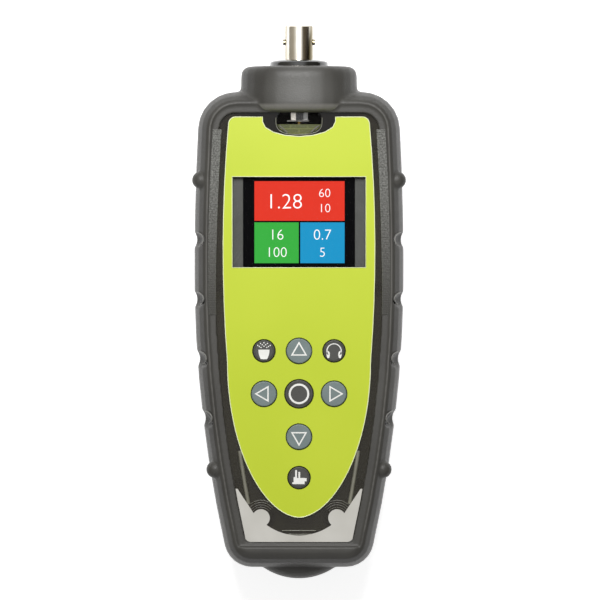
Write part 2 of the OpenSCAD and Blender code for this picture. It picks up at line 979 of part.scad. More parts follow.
// A key is turned in one profile: the plunger over its switch, the flange that keeps it in, and the
// stem through the face with a rounded edge. A margin can be sunk round the printed middle.
module key(i, tint, margin = 0) {
  r = KEY_PLACES[i].z / 2;
  flange_z = plate_z - fit_gap - flange_t;
  plunger_z = switch_top_z + plunger_gap;
  top_z = label_z + key_rise;
  rim_z = margin > 0 ? top_z - margin_t : top_z;
  placed(tint)
    translate([KEY_PLACES[i].x, KEY_PLACES[i].y, 0])
      rotate_extrude()
        polygon(concat(
          [[0, plunger_z], [plunger_r, plunger_z], [plunger_r, flange_z], [r + flange_over, flange_z]],
          [[r + flange_over, flange_z + flange_t], [r, flange_z + flange_t]],
          arc([r - key_edge, rim_z - key_edge], key_edge, 0, 90, key_steps),
          margin > 0 ? [[r - margin, rim_z], [r - margin - margin_t, top_z]] : [],
          [[0, top_z]]
        ));
}

dark_key = "#484843";
blue_key = "#788687";
module key_light() key(0, dark_key, small_margin);
module key_up() key(1, blue_key);
module key_headphones() key(2, dark_key, small_margin);
module key_left() key(3, blue_key);
module key_middle() key(4, dark_key, middle_margin);
module key_right() key(5, blue_key);
module key_down() key(6, blue_key);
module key_machine() key(7, dark_key, small_margin);

module connector_collar() {
  full = collar_top - neck_top;
  dome_w = collar_r * collar_round_share;
  dome_h = collar_l / 2;
  placed("#161616")
    on_axis(neck_top)
      rotate_extrude()
        polygon(concat(
          [[barrel_r + fit_gap, 0], [collar_r, 0]],
          [
            for (i = [0:arc_steps])
              let (a = 90 * i / arc_steps)
                [collar_r - dome_w + dome_w * cos(a), full - dome_h + dome_h * sin(a)],
          ],
          [[barrel_r + fit_gap, full]]
        ));
}

module connector_shell() {
  placed("#b9b3a6") {
    on_axis(0)
      rotate_extrude()
        polygon([
          [core_r + fit_gap / 2, tail_end], [tail_flange_r, tail_end],
          [tail_flange_r, tail_end + tail_flange_t], [tail_r, tail_end + tail_flange_t],
          [tail_r, nut_y], [thread_r, nut_y], [thread_r, neck_in_y], [barrel_r, neck_in_y],
          [barrel_r, barrel_top - mouth_bevel], [barrel_r - mouth_bevel, barrel_top],
          [socket_r, barrel_top], [socket_r, barrel_top - socket_depth],
          [core_r + fit_gap / 2, barrel_top - socket_depth],
        ]);
    for (side = [-1, 1])
      translate([side * (socket_r + barrel_r) / 2, collar_top + lug_y, axis_z])
        rotate([0, side * 90, 0])
          cylinder(r = lug_d / 2, h = lug_span / 2 - (socket_r + barrel_r) / 2);
  }
}

module connector_insulator() {
  placed("#efece4")
    on_axis(0)
      rotate_extrude()
        polygon([
          [contact_r + fit_gap / 2, tail_end], [core_r, tail_end], [core_r, barrel_top - core_drop],
          [contact_r + fit_gap / 2, barrel_top - core_drop],
        ]);
}

module connector_contact() {
  l = barrel_top - core_drop - contact_drop - tail_end + contact_tail;
  placed("#c9a24a")
    on_axis(tail_end - contact_tail)
      difference() {
        cylinder(r = contact_r, h = l);
        translate([0, 0, l - socket_depth])
          cylinder(r = contact_bore, h = socket_depth + cut);
        translate([-contact_r - cut, -contact_slot / 2, l - contact_slot_l])
          cube([2 * (contact_r + cut), contact_slot, contact_slot_l + cut]);
      }
}

module connector_nut() {
  placed("#a9a7a0")
    on_axis(nut_y)
      difference() {
        cylinder(r = nut_af / 2 / cos(30), h = nut_t, $fn = 6);
        translate([0, 0, -cut])
          cylinder(r = barrel_r, h = nut_t + 2 * cut);
      }
}

module connector_washer() {
  placed("#8d8b85")
    on_axis(washer_y)
      difference() {
        cylinder(r = washer_r, h = washer_t);
        translate([0, 0, -cut])
          cylinder(r = barrel_r, h = washer_t + 2 * cut);
      }
}

module battery_door() {
  placed("#33322f")
    difference() {
      slab(case_z, door_t)
        door_outline();
      door_boss_places() {
        translate([0, 0, case_z - cut])
          cylinder(r = screw_r + fit_gap, h = door_t + 2 * cut);
        translate([0, 0, case_z - cut])
          cylinder(r = screw_head_r + fit_gap, h = door_head_t + cut);
      }
    }
}

module door_seal() {
  placed("#1c1c1a")
    slab(back_in_z, seal_t)
      difference() {
        door_outline(0);
        door_outline(-seal_w);
      }
}

module door_screw(y) {
  placed("#9a9a96")
    translate([0, y, case_z])
      slotted_screw(screw_head_r, door_head_t, door_screw_l - door_head_t);
}

module door_screw_upper() door_screw(door_screw_high_y);
module door_screw_lower() door_screw(door_screw_low_y);

module battery_cell(side) {
  placed("#3b4a5c")
    translate([side * cell_x, bay_y, cell_z])
      rotate([side * 90, 0, 0])
        translate([0, 0, -cell_l / 2]) {
          cylinder(r = cell_d / 2, h = cell_l - cell_nub_l);
          cylinder(r = cell_nub_r, h = cell_l);
        }
}

module battery_cell_left() battery_cell(-1);
module battery_cell_right() battery_cell(1);

// A contact is a flat plate on the bay's end wall. The leaf on it presses on the cell's flat end.
module contact_plate(leaf) {
  translate([-leaf_w / 2, 0, -leaf_w / 2])
    cube([leaf_w, contact_t, leaf_w]);
  if (leaf)
    translate([-leaf_w / 2, 0, 0])
      rotate([90, 0, 90])
        linear_extrude(leaf_w)
          polygon([
            [contact_t, -leaf_w / 2], [contact_t + leaf_rise * leaf_out_share, 0], [contact_t, leaf_w / 2],
            [0, leaf_w / 2 - contact_t], [leaf_rise * leaf_in_share, 0], [0, contact_t - leaf_w / 2],
          ]);
  else
    translate([0, contact_t, 0])
      rotate([-90, 0, 0])
        cylinder(r = cell_nub_r, h = leaf_rise - fit_gap);
}

module battery_contacts() {
  placed("#c2c2bd")
    for (side = [-1, 1]) {
      translate([side * cell_x, bay_low, cell_z])
        contact_plate(side < 0);
      translate([side * cell_x, bay_high, cell_z])
        mirror([0, 1, 0])
          contact_plate(side > 0);
    }
}

boot();
front_case();
rear_case();
case_seal();
case_screws();
thread_inserts();
face_label();
lower_trim();
display_window();
display_frame();
display_panel();
display_ribbon();
main_board();
board_chips();
key_switches();
key_light();
key_up();
key_headphones();
key_left();
key_middle();
key_right();
key_down();
key_machine();
connector_collar();
connector_shell();
connector_insulator();
connector_contact();
connector_nut();
connector_washer();
battery_door();
door_seal();
door_screw_upper();
door_screw_lower();
battery_cell_left();
battery_cell_right();
battery_contacts();
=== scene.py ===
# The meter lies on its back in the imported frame: X across it, Y towards the sensor connector and Z
# out of its face, in metres. Each section below dresses one piece of it, or one group of like pieces.
import math

import bpy
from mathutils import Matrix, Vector


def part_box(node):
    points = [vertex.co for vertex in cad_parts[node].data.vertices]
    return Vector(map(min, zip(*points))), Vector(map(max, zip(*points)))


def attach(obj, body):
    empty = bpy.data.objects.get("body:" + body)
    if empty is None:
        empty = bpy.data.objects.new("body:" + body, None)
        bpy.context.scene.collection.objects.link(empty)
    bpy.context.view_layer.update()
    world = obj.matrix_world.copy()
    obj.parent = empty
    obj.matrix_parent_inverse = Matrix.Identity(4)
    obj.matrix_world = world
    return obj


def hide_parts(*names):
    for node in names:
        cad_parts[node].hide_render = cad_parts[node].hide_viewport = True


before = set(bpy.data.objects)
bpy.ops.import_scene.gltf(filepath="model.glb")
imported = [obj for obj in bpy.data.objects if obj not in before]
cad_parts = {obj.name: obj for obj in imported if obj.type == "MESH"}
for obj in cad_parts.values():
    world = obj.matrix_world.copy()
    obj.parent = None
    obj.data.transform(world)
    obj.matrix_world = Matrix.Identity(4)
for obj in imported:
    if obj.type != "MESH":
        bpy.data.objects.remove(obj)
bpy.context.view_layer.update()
scene = bpy.context.scene
scene.view_settings.view_transform = "Standard"

# Camera: it looks straight down on the face from far off, so that near and far parts of the meter
# have one scale. The picture is a square, and its middle lies a little off the meter's own.
picture_side = 0.2058
picture_x, picture_y = 0.00034, 0.00063
camera_height = 4.0
middle_height = 0.03
sensor = 36
bpy.ops.object.camera_add(location=(picture_x, picture_y, camera_height), rotation=(0, 0, 0))
camera = bpy.context.object
camera.data.sensor_width = sensor
camera.data.lens = sensor * (camera_height - middle_height) / picture_side
camera.data.clip_start = 0.1
camera.data.clip_end = 20
scene.camera = camera

# Studio: a pale floor under one soft lamp, which hangs low over the connector end, and an even dome
# of weaker light. The camera sees floor and dome white. Metal and gloss see them too, with the room
# growing dark towards its two sides.
lamp_place = Vector((-0.02, 0.27, 0.55))
lamp_size = 0.24
lamp_power = 3.6
dome_light = 0.2
white = (1, 1, 1)
room_left, room_right = (0.3, 0.28, 0.24), (0.06, 0.05, 0.04)
room_tones = ((0.15, (0.4, 0.37, 0.31)), (0.36, white), (0.64, white), (0.76, (0.1, 0.08, 0.05)))
floor_size, floor_drop = 8, 0.0003
paper_colour = (0.75, 0.75, 0.75)
paper_glow = 0.82
mix_first, mix_second, mix_result = 6, 7, 2


def fed(tree, value, socket):
    """Gives a socket a number, a colour or a vector, or a link from another socket."""
    if isinstance(value, bpy.types.NodeSocket):
        tree.links.new(value, socket)
    else:
        socket.default_value = (*value, 1) if isinstance(value, tuple) else value


def computed(tree, operation, *values):
    """The result of a math node on numbers and sockets."""
    node = tree.nodes.new("ShaderNodeMath")
    node.operation = operation
    for socket, value in zip(node.inputs, values):
        fed(tree, value, socket)
    return node.outputs[0]


def mixed(tree, factor, first, second):
    """The output of a mix of two colours, whose sockets are known by their numbers alone."""
    mix = tree.nodes.new("ShaderNodeMix")
    mix.data_type = "RGBA"
    fed(tree, factor, mix.inputs["Factor"])
    fed(tree, first, mix.inputs[mix_first])
    fed(tree, second, mix.inputs[mix_second])
    return mix.outputs[mix_result]


def ranged(tree, value, low, high, to_low, to_high):
    """A value moved from one range to another."""
    node = tree.nodes.new("ShaderNodeMapRange")
    for place, end in zip(("From Min", "From Max", "To Min", "To Max"), (low, high, to_low, to_high)):
        fed(tree, end, node.inputs[place])
    fed(tree, value, node.inputs["Value"])
    return node.outputs["Result"]


def seen_directly(tree):
    """1 for what the camera, a mirror or clear plastic sees, and 0 for light that falls on things."""
    path = tree.nodes.new("ShaderNodeLightPath")
    seen = computed(tree, "MAXIMUM", path.outputs["Is Camera Ray"], path.outputs["Is Glossy Ray"])
    return computed(tree, "MAXIMUM", seen, path.outputs["Is Transmission Ray"])


bpy.ops.object.light_add(type="AREA", location=lamp_place)
lamp = bpy.context.object
lamp.name = "main_lamp"
lamp.data.size = lamp_size
lamp.data.energy = lamp_power
lamp.rotation_euler = (-lamp_place).to_track_quat("-Z", "Y").to_euler()

dome = bpy.data.worlds.new("dome")
dome.use_nodes = True
scene.world = dome
sky = dome.node_tree
sky.nodes.clear()
sky_out = sky.nodes.new("ShaderNodeOutputWorld")
sky_mix = sky.nodes.new("ShaderNodeMixShader")
sky_light = sky.nodes.new("ShaderNodeBackground")
fed(sky, white, sky_light.inputs["Color"])
sky_light.inputs["Strength"].default_value = dome_light
sky_seen = sky.nodes.new("ShaderNodeBackground")
sky_seen.inputs["Strength"].default_value = 1.0
sky_side = sky.nodes.new("ShaderNodeTexCoord")
sky_split = sky.nodes.new("ShaderNodeSeparateXYZ")
sky_ramp = sky.nodes.new("ShaderNodeValToRGB")
sky_ramp.color_ramp.elements[0].color = (*room_left, 1)
sky_ramp.color_ramp.elements[1].color = (*room_right, 1)
for place, colour in room_tones:
    sky_ramp.color_ramp.elements.new(place).color = (*colour, 1)
sky.links.new(sky_side.outputs["Generated"], sky_split.inputs["Vector"])
sky.links.new(ranged(sky, sky_split.outputs["X"], -1, 1, 0, 1), sky_ramp.inputs["Fac"])
sky_eye = sky.nodes.new("ShaderNodeLightPath").outputs["Is Camera Ray"]
sky.links.new(mixed(sky, sky_eye, sky_ramp.outputs["Color"], white), sky_seen.inputs["Color"])
sky.links.new(seen_directly(sky), sky_mix.inputs["Fac"])
sky.links.new(sky_light.outputs[0], sky_mix.inputs[1])
sky.links.new(sky_seen.outputs[0], sky_mix.inputs[2])
sky.links.new(sky_mix.outputs[0], sky_out.inputs["Surface"])

bpy.ops.mesh.primitive_plane_add(size=floor_size, location=(0, 0, -floor_drop))
floor = bpy.context.object
floor.name = "floor"
paper = bpy.data.materials.new("studio_paper")
paper.use_nodes = True
sheet = paper.node_tree
sheet.nodes.clear()
sheet_out = sheet.nodes.new("ShaderNodeOutputMaterial")
sheet_side = sheet.nodes.new("ShaderNodeMixShader")
sheet_sum = sheet.nodes.new("ShaderNodeAddShader")
sheet_matt = sheet.nodes.new("ShaderNodeBsdfDiffuse")
fed(sheet, paper_colour, sheet_matt.inputs["Color"])
sheet_glow = sheet.nodes.new("ShaderNodeEmission")
sheet_clear = sheet.nodes.new("ShaderNodeBsdfTransparent")
sheet_back = sheet.nodes.new("ShaderNodeNewGeometry")
sheet_strength = computed(sheet, "MULTIPLY", seen_directly(sheet), paper_glow)
sheet.links.new(sheet_strength, sheet_glow.inputs["Strength"])
sheet.links.new(sheet_matt.outputs[0], sheet_sum.inputs[0])
sheet.links.new(sheet_glow.outputs[0], sheet_sum.inputs[1])
sheet.links.new(sheet_back.outputs["Backfacing"], sheet_side.inputs["Fac"])
sheet.links.new(sheet_sum.outputs[0], sheet_side.inputs[1])
sheet.links.new(sheet_clear.outputs[0], sheet_side.inputs[2])
sheet.links.new(sheet_side.outputs[0], sheet_out.inputs["Surface"])
floor.data.materials.append(paper)

# Boot: the thick rubber jacket, moulded in one piece round the case, with studs and scooped grips.
# Its skin is rebuilt as one even surface and relaxed, so every edge is as round as rubber comes out
# of a mould. The grain is the mould's spark finish. A thin painted highlight runs along the lip's
# crest, short of both ends, and a broad painted highlight lies on the middle of the cap.
skin_voxel, skin_weld, skin_share = 0.0004, 0.00018, 0.4
cap_low, cap_blend = 0.0665, 0.006
cap_highlight_x, cap_highlight_y = 0.0005, 0.0722
cap_highlight_half_w, cap_highlight_half_l = 0.0135, 0.0125
step_x, step_y, step_z = 0.0160, 0.0692, 0.0372
crest_low, crest_high = 0.0384, 0.0387
crest_middle, crest_start, crest_end = -0.0054, 0.0726, 0.0735
patch_depth = 10
double_gap = 0.000005


def only(piece):
    """Selects one piece and nothing else, so that the next operators act on it."""
    bpy.ops.object.select_all(action="DESELECT")
    piece.select_set(True)
    bpy.context.view_layer.objects.active = piece


def welded(piece, gap):
    """Joins the corners of a piece that lie closer together than a gap."""
    only(piece)
    bpy.ops.object.mode_set(mode="EDIT")
    bpy.ops.mesh.select_all(action="SELECT")
    bpy.ops.mesh.remove_doubles(threshold=gap)
    bpy.ops.object.mode_set(mode="OBJECT")


def copied(node, name):
    """A new piece with the shape of a solid of the frame, its loose faces joined."""
    piece = bpy.data.objects.new(name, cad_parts[node].data.copy())
    scene.collection.objects.link(piece)
    welded(piece, double_gap)
    piece.data.materials.clear()
    return piece


def apply_modifier(piece, kind, **settings):
    """Puts a modifier on a piece and applies it at once."""
    only(piece)
    modifier = piece.modifiers.new(kind.lower(), kind)
    for key, value in settings.items():
        setattr(modifier, key, value)
    bpy.ops.object.modifier_apply(modifier=modifier.name)


def group(name, inputs, outputs):
    """An empty node group with these sockets, and its inner input and output nodes."""
    tree = bpy.data.node_groups.new(name, "ShaderNodeTree")
    kinds = {"f": "NodeSocketFloat", "c": "NodeSocketColor", "v": "NodeSocketVector"}
    for direction, sockets in (("INPUT", inputs), ("OUTPUT", outputs)):
        for socket, kind in sockets:
            tree.interface.new_socket(socket, in_out=direction, socket_type=kinds[kind])
    return tree, tree.nodes.new("NodeGroupInput"), tree.nodes.new("NodeGroupOutput")


# The mould's grain: fine bumps, with broad clouds in which the colour and the gloss drift a little.
grain, grain_in, grain_out = group(
    "moulded_grain",
    [("Fine", "f"), ("Broad", "f"), ("Dark", "c"), ("Light", "c"), ("Smooth", "f"), ("Rough", "f")],
    [("Color", "c"), ("Roughness", "f"), ("Height", "f")],
)
grain_place = grain.nodes.new("ShaderNodeTexCoord")
grain_noise = {}
for size, detail in (("Fine", 3.0), ("Broad", 2.0)):
    noise = grain.nodes.new("ShaderNodeTexNoise")
    noise.inputs["Detail"].default_value = detail
    grain.links.new(grain_place.outputs["Object"], noise.inputs["Vector"])
    grain.links.new(grain_in.outputs[size], noise.inputs["Scale"])
    grain_noise[size] = noise.outputs["Fac"]
noise_low, noise_high = 0.3, 0.7
grain_cloud = ranged(grain, grain_noise["Broad"], noise_low, noise_high, 0, 1)
grain_colour = mixed(grain, grain_cloud, grain_in.outputs["Dark"], grain_in.outputs["Light"])
grain_gloss = ranged(
    grain, grain_noise["Fine"], noise_low, noise_high, grain_in.outputs["Smooth"],
    grain_in.outputs["Rough"],
)
grain.links.new(grain_colour, grain_out.inputs["Color"])
grain.links.new(grain_gloss, grain_out.inputs["Roughness"])
grain.links.new(grain_noise["Fine"], grain_out.inputs["Height"])

# Crest highlight: what stands high goes over to a paler colour, a painted highlight, within a reach along
# the piece.
crest_highlight, crest_highlight_in, crest_highlight_out = group(
    "painted_crest_highlight",
    [("Color", "c"), ("Edge Color", "c")]
    + [(end, "f") for end in ("Low", "High", "Middle", "Start", "End")],
    [("Color", "c")],
)
crest_highlight_place = crest_highlight.nodes.new("ShaderNodeTexCoord")
crest_highlight_split = crest_highlight.nodes.new("ShaderNodeSeparateXYZ")
crest_highlight.links.new(crest_highlight_place.outputs["Object"], crest_highlight_split.inputs["Vector"])
crest_highlight_part = ranged(
    crest_highlight, crest_highlight_split.outputs["Z"], crest_highlight_in.outputs["Low"], crest_highlight_in.outputs["High"], 0, 1
)
crest_highlight_along = computed(crest_highlight, "SUBTRACT", crest_highlight_split.outputs["Y"], crest_highlight_in.outputs["Middle"])
crest_highlight_away = computed(crest_highlight, "ABSOLUTE", crest_highlight_along)
crest_highlight_end = ranged(crest_highlight, crest_highlight_away, crest_highlight_in.outputs["Start"], crest_highlight_in.outputs["End"], 1, 0)
crest_highlight_both = computed(crest_highlight, "MULTIPLY", crest_highlight_part, crest_highlight_end)
crest_highlight_colour = mixed(crest_highlight, crest_highlight_both, crest_highlight_in.outputs["Color"], crest_highlight_in.outputs["Edge Color"])
crest_highlight.links.new(crest_highlight_colour, crest_highlight_out.inputs["Color"])

# Soft patch: another colour lies over the piece's own about a place on its face. The distance that
# it gives out is 0 at that place and 1 on the ellipse with the patch's half sizes.
patch, patch_in, patch_out = group(
    "soft_patch",
    [
        ("Color", "c"), ("Patch Color", "c"), ("Place", "v"), ("Half Size", "v"), ("Inner", "f"),
        ("Outer", "f"),
    ],
    [("Color", "c"), ("Distance", "f")],
)
patch_place = patch.nodes.new("ShaderNodeTexCoord")
patch_local = patch.nodes.new("ShaderNodeMapping")
patch_local.vector_type = "TEXTURE"
patch_length = patch.nodes.new("ShaderNodeVectorMath")
patch_length.operation = "LENGTH"
patch.links.new(patch_place.outputs["Object"], patch_local.inputs["Vector"])
patch.links.new(patch_in.outputs["Place"], patch_local.inputs["Location"])
patch.links.new(patch_in.outputs["Half Size"], patch_local.inputs["Scale"])
patch.links.new(patch_local.outputs["Vector"], patch_length.inputs[0])
patch_distance = patch_length.outputs["Value"]
patch_part = ranged(patch, patch_distance, patch_in.outputs["Inner"], patch_in.outputs["Outer"], 1, 0)
patch_colour = mixed(patch, patch_part, patch_in.outputs["Color"], patch_in.outputs["Patch Color"])
patch.links.new(patch_colour, patch_out.inputs["Color"])
patch.links.new(patch_distance, patch_out.inputs["Distance"])


def shader_socket(material, name):
    """A socket of a material's own shader."""
    return material.node_tree.nodes["Principled BSDF"].inputs[name]


def finish(name, colour, roughness, **sockets):
    """A material whose shader has plain values on its own sockets."""
    material = bpy.data.materials.new(name)
    material.use_nodes = True
    shader_socket(material, "Base Color").default_value = (*colour, 1)
    shader_socket(material, "Roughness").default_value = roughness
    for key, value in sockets.items():
        shader_socket(material, key.replace("_", " ")).default_value = value
    return material


def placed_group(material, tree, **values):
    """Places a shared group in a material, with the material's own values on its sockets."""
    node = material.node_tree.nodes.new("ShaderNodeGroup")
    node.node_tree = tree
    for key, value in values.items():
        fed(material.node_tree, value, node.inputs[key.replace("_", " ")])
    return node


def overlaid(material, tree, **values):
    """Places a shared group between a material's shader and what has coloured it so far."""
    node = placed_group(material, tree, **values)
    base = shader_socket(material, "Base Color")
    material.node_tree.links.new(base.links[0].from_socket, node.inputs["Color"])
    material.node_tree.links.new(node.outputs["Color"], base)
    return node


def bumped(material, height, distance):
    """Feeds a height into the shader's normal through a bump node."""
    bump = material.node_tree.nodes.new("ShaderNodeBump")
    bump.inputs["Distance"].default_value = distance
    bump.inputs["Strength"].default_value = 1.0
    material.node_tree.links.new(height, bump.inputs["Height"])
    material.node_tree.links.new(bump.outputs["Normal"], shader_socket(material, "Normal"))


def grained(material, dark, light, smooth, rough, fine, broad):
    """Lets the shared grain drive a material's colour and roughness, and returns its height."""
    node = placed_group(
        material, grain, Fine=fine, Broad=broad, Dark=dark, Light=light, Smooth=smooth, Rough=rough
    )
    material.node_tree.links.new(node.outputs["Color"], shader_socket(material, "Base Color"))
    material.node_tree.links.new(node.outputs["Roughness"], shader_socket(material, "Roughness"))
    return node.outputs["Height"]


def moulded(name, dark, light, smooth, rough, fine, broad, depth, **sockets):
    """A moulded finish: the shared grain drives the colour, the roughness and a fine bump."""
    material = finish(name, light, rough, **sockets)
    bumped(material, grained(material, dark, light, smooth, rough, fine, broad), depth)
    return material


def dressed(piece, material):
    """Gives a piece one material."""
    piece.data.materials.clear()
    piece.data.materials.append(material)


boot_rubber = moulded(
    "boot_rubber", dark=(0.046, 0.044, 0.04), light=(0.06, 0.058, 0.052), smooth=0.4, rough=0.52,
    fine=1900, broad=60, depth=0.00006, Specular_IOR_Level=0.28,
)
# Painted highlight: the middle of the cap's round top is painted paler.
overlaid(
    boot_rubber, patch, Patch_Color=(0.125, 0.123, 0.116), Place=Vector((cap_highlight_x, cap_highlight_y, 0)),
    Half_Size=Vector((cap_highlight_half_w, cap_highlight_half_l, patch_depth)), Inner=0.1, Outer=1.0,
)
# Painted highlight: a thin paler line along the lip's crest, short of its two ends.
overlaid(
    boot_rubber, crest_highlight, Edge_Color=(0.16, 0.155, 0.14), Low=crest_low, High=crest_high,
    Middle=crest_middle, Start=crest_start, End=crest_end,
)

boot = copied("boot", "boot_skin")
apply_modifier(boot, "REMESH", mode="VOXEL", voxel_size=skin_voxel)
apply_modifier(boot, "SMOOTH", factor=0.5, iterations=3)
round_cap = boot.vertex_groups.new(name="round_cap")
for vertex in boot.data.vertices:
    x, y, z = vertex.co
    on_step = z > step_z and abs(x) > step_x and y < step_y
    if y > cap_low and not on_step:
        round_cap.add([vertex.index], min(1.0, (y - cap_low) / cap_blend), "REPLACE")
apply_modifier(boot, "SMOOTH", factor=0.5, iterations=45, vertex_group="round_cap")
apply_modifier(boot, "DECIMATE", ratio=skin_share)
welded(boot, skin_weld)
apply_modifier(boot, "SMOOTH", factor=0.5, iterations=2)
bpy.ops.object.shade_smooth()
dressed(boot, boot_rubber)
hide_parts("boot")
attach(boot, "housing")

# Grip strips: a band of small moulded pyramids in the sunk step on each side of the face, where the
# thumb rests. They are the jacket's own rubber, painted much paler here as a painted sheen of the
# light on their stipple, which fades out towards their lower end, and follow the bowed edge of its
# opening.
strip_pitch = 0.0006
strip_rows = 5
strip_low, strip_high = -0.0045, 0.0590
strip_length = strip_high - strip_low
strip_inset = 0.0067
strip_taper = 0.0009
strip_height = 0.03815
strip_rise = 0.0003
strip_thickness = 0.0009
boot_half, boot_widest_y = 0.0359, 0.01017
boot_bow_up, boot_reach_up = 0.00195, 0.062
boot_bow_down, boot_reach_down = 0.01215, 0.1011


def side_x(y):
    """The jacket's half width at a place along it."""
    if y > boot_widest_y:
        return boot_half - boot_bow_up * ((y - boot_widest_y) / boot_reach_up) ** 2
    return boot_half - boot_bow_down * ((boot_widest_y - y) / boot_reach_down) ** 2


strip_rubber_sheen = moulded(
    "strip_rubber_sheen", dark=(0.085, 0.085, 0.078), light=(0.29, 0.29, 0.27), smooth=0.5, rough=0.62,
    fine=2600, broad=1700, depth=0.00003,
)
# Painted sheen: the pale strip goes darker towards its lower end, where the painted sheen fades out.
overlaid(
    strip_rubber_sheen, patch, Patch_Color=(0.085, 0.083, 0.075), Place=Vector((0, strip_high, 0)),
    Half_Size=Vector((1, strip_length, patch_depth)), Inner=0.95, Outer=0.3,
)
for side, label in ((-1, "left"), (1, "right")):
    bpy.ops.object.select_all(action="DESELECT")
    bpy.ops.mesh.primitive_grid_add(
        x_subdivisions=strip_rows,
        y_subdivisions=round(strip_length / strip_pitch),
        size=1,
        location=(0, (strip_low + strip_high) / 2, strip_height),
    )
    strip = bpy.context.object
    strip.name = "grip_strip_" + label
    strip.scale = (strip_rows * strip_pitch, strip_length, 1)
    bpy.ops.object.transform_apply(location=True, rotation=True, scale=True)
    bpy.ops.object.mode_set(mode="EDIT")
    bpy.ops.mesh.select_all(action="SELECT")
    bpy.ops.mesh.poke(offset=strip_rise)
    bpy.ops.object.mode_set(mode="OBJECT")
    for vertex in strip.data.vertices:
        down = (strip_high - vertex.co.y) / strip_length
        vertex.co.x += side * (side_x(vertex.co.y) - strip_inset + strip_taper * down)
    apply_modifier(strip, "SOLIDIFY", thickness=strip_thickness, offset=-1)
    dressed(strip, strip_rubber_sheen)
    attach(strip, "housing")

# Opening corners: the jacket's lip runs round each lower corner of its opening in a small fillet, so
# the strip below it shows no sharp corner. The fillet is moulded with the jacket.
corner_x, corner_y = 0.0183, -0.0822
corner_r = 0.0024
corner_root = 0.0006
corner_steps = 10
corner_lean = math.radians(11.5)
corner_low, corner_high = 0.0367, 0.03795


def prism(name, points, low, high):
    """An upright prism over a row of points that runs round its outline."""
    count = len(points)
    shape = bpy.data.meshes.new(name)
    shape.from_pydata(
        [(x, y, z) for z in (low, high) for x, y in points],
        [],
        [list(range(count))[::-1], list(range(count, 2 * count))]
        + [(i, (i + 1) % count, count + (i + 1) % count, count + i) for i in range(count)],
    )
    piece = bpy.data.objects.new(name, shape)
    scene.collection.objects.link(piece)
    only(piece)
    bpy.ops.object.mode_set(mode="EDIT")
    bpy.ops.mesh.select_all(action="SELECT")
    bpy.ops.mesh.normals_make_consistent(inside=False)
    bpy.ops.object.mode_set(mode="OBJECT")
    return piece


def arc_points(x, y, half_w, half_l, start, end, count):
    """Points on an arc of an ellipse, between two angles in degrees."""
    angles = [math.radians(start + (end - start) * i / (count - 1)) for i in range(count)]
    return [(x + half_w * math.cos(a), y + half_l * math.sin(a)) for a in angles]


bend_x = corner_x - corner_r / math.tan((math.pi / 2 + corner_lean) / 2)
bend = arc_points(
    bend_x, corner_y + corner_r, corner_r, corner_r, -90, -math.degrees(corner_lean), corner_steps + 1
)
corner_outline = [
    (corner_x + corner_root, corner_y - corner_root),
    (bend_x, corner_y - corner_root),
    *bend,
    (bend[-1][0] + corner_root, bend[-1][1]),
]
for side, label in ((-1, "left"), (1, "right")):
    outline = [(side * x, y) for x, y in corner_outline]
    web = prism("corner_web_" + label, outline, corner_low, corner_high)
    dressed(web, boot_rubber)
    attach(web, "housing")

# Case: the front shell is smoked clear plastic, polished clearer inside the rib round the connector's
# tail, and painted near black and nearly opaque round that, a painted shadow of the cap over the
# notch. The rear shell and the battery door are filled plastic with a fine matt grain.
view_half, view_end = 0.0079, 0.0046
view_lift = 0.001
view_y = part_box("main_board")[1].y + view_lift
view_edge_in, view_edge_out = 0.98, 1.06
shadow_in, shadow_out = 2.1, 3.0
view_alpha, shadow_alpha, plate_alpha = 0.1, 0.93, 0.62


def dress(material, *nodes):
    """Gives solids of the frame, which are shown as they are, one material."""
    for node in nodes:
        dressed(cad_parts[node], material)


smoked_plastic = finish(
    "smoked_plastic", (0.03, 0.026, 0.02), 0.06, Alpha=plate_alpha, Specular_IOR_Level=0.3
)
grained(
    smoked_plastic, dark=(0.03, 0.026, 0.019), light=(0.045, 0.039, 0.03), smooth=0.05, rough=0.12,
    fine=700, broad=40,
)
# Painted shadow: round the clear view the plate is painted near black and made nearly opaque, where the
# cap shades the notch.
view_shade_patch = overlaid(
    smoked_plastic, patch, Patch_Color=(0.008, 0.007, 0.006), Place=Vector((0, view_y, 0)),
    Half_Size=Vector((view_half, view_end, patch_depth)), Inner=shadow_in, Outer=shadow_out,
)
smoked_tree = smoked_plastic.node_tree
view_reach = view_shade_patch.outputs["Distance"]
smoked_alpha = ranged(smoked_tree, view_reach, shadow_in, shadow_out, shadow_alpha, plate_alpha)
smoked_tree.links.new(
    ranged(smoked_tree, view_reach, view_edge_in, view_edge_out, view_alpha, smoked_alpha),
    shader_socket(smoked_plastic, "Alpha"),
)
shell_plastic = moulded(
    "shell_plastic", dark=(0.036, 0.035, 0.032), light=(0.05, 0.048, 0.043), smooth=0.45, rough=0.6,
    fine=2400, broad=50, depth=0.00004,
)
dress(smoked_plastic, "front_case")
dress(shell_plastic, "rear_case", "battery_door")

# Front relief: the fine ridges that the front shell is moulded with are painted pale, as painted
# highlights of the light they catch, in three strengths: bright, middling and dim. A U with two slopes
# in it runs round the connector's tail. At the label's narrow end are a bead on each side, rings round
# the screws, and two short ribs between them.
plate_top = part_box("front_case")[1].z
line_r, ring_r, slope_r, bead_r = 0.00013, 0.00012, 0.00028, 0.0007
view_square = 0.72
view_steps = 48
view_arm = 0.0012
slope_top_x, slope_top_y = 0.0067, view_y - 0.0016
slope_low_x, slope_low_y = 0.0040, view_y - 0.0039
rib_y, rib_gap, rib_half = -0.0783, 0.0013, 0.0058
bead_low, bead_high, bead_inset = -0.0692, -0.0510, 0.0111
bead_steps = 12
screw_x, screw_y = 0.013, -0.07395
ring_reaches = (0.0036, 0.0044, 0.0052, 0.0060)
ring_start, ring_end, ring_points = 40, 140, 24
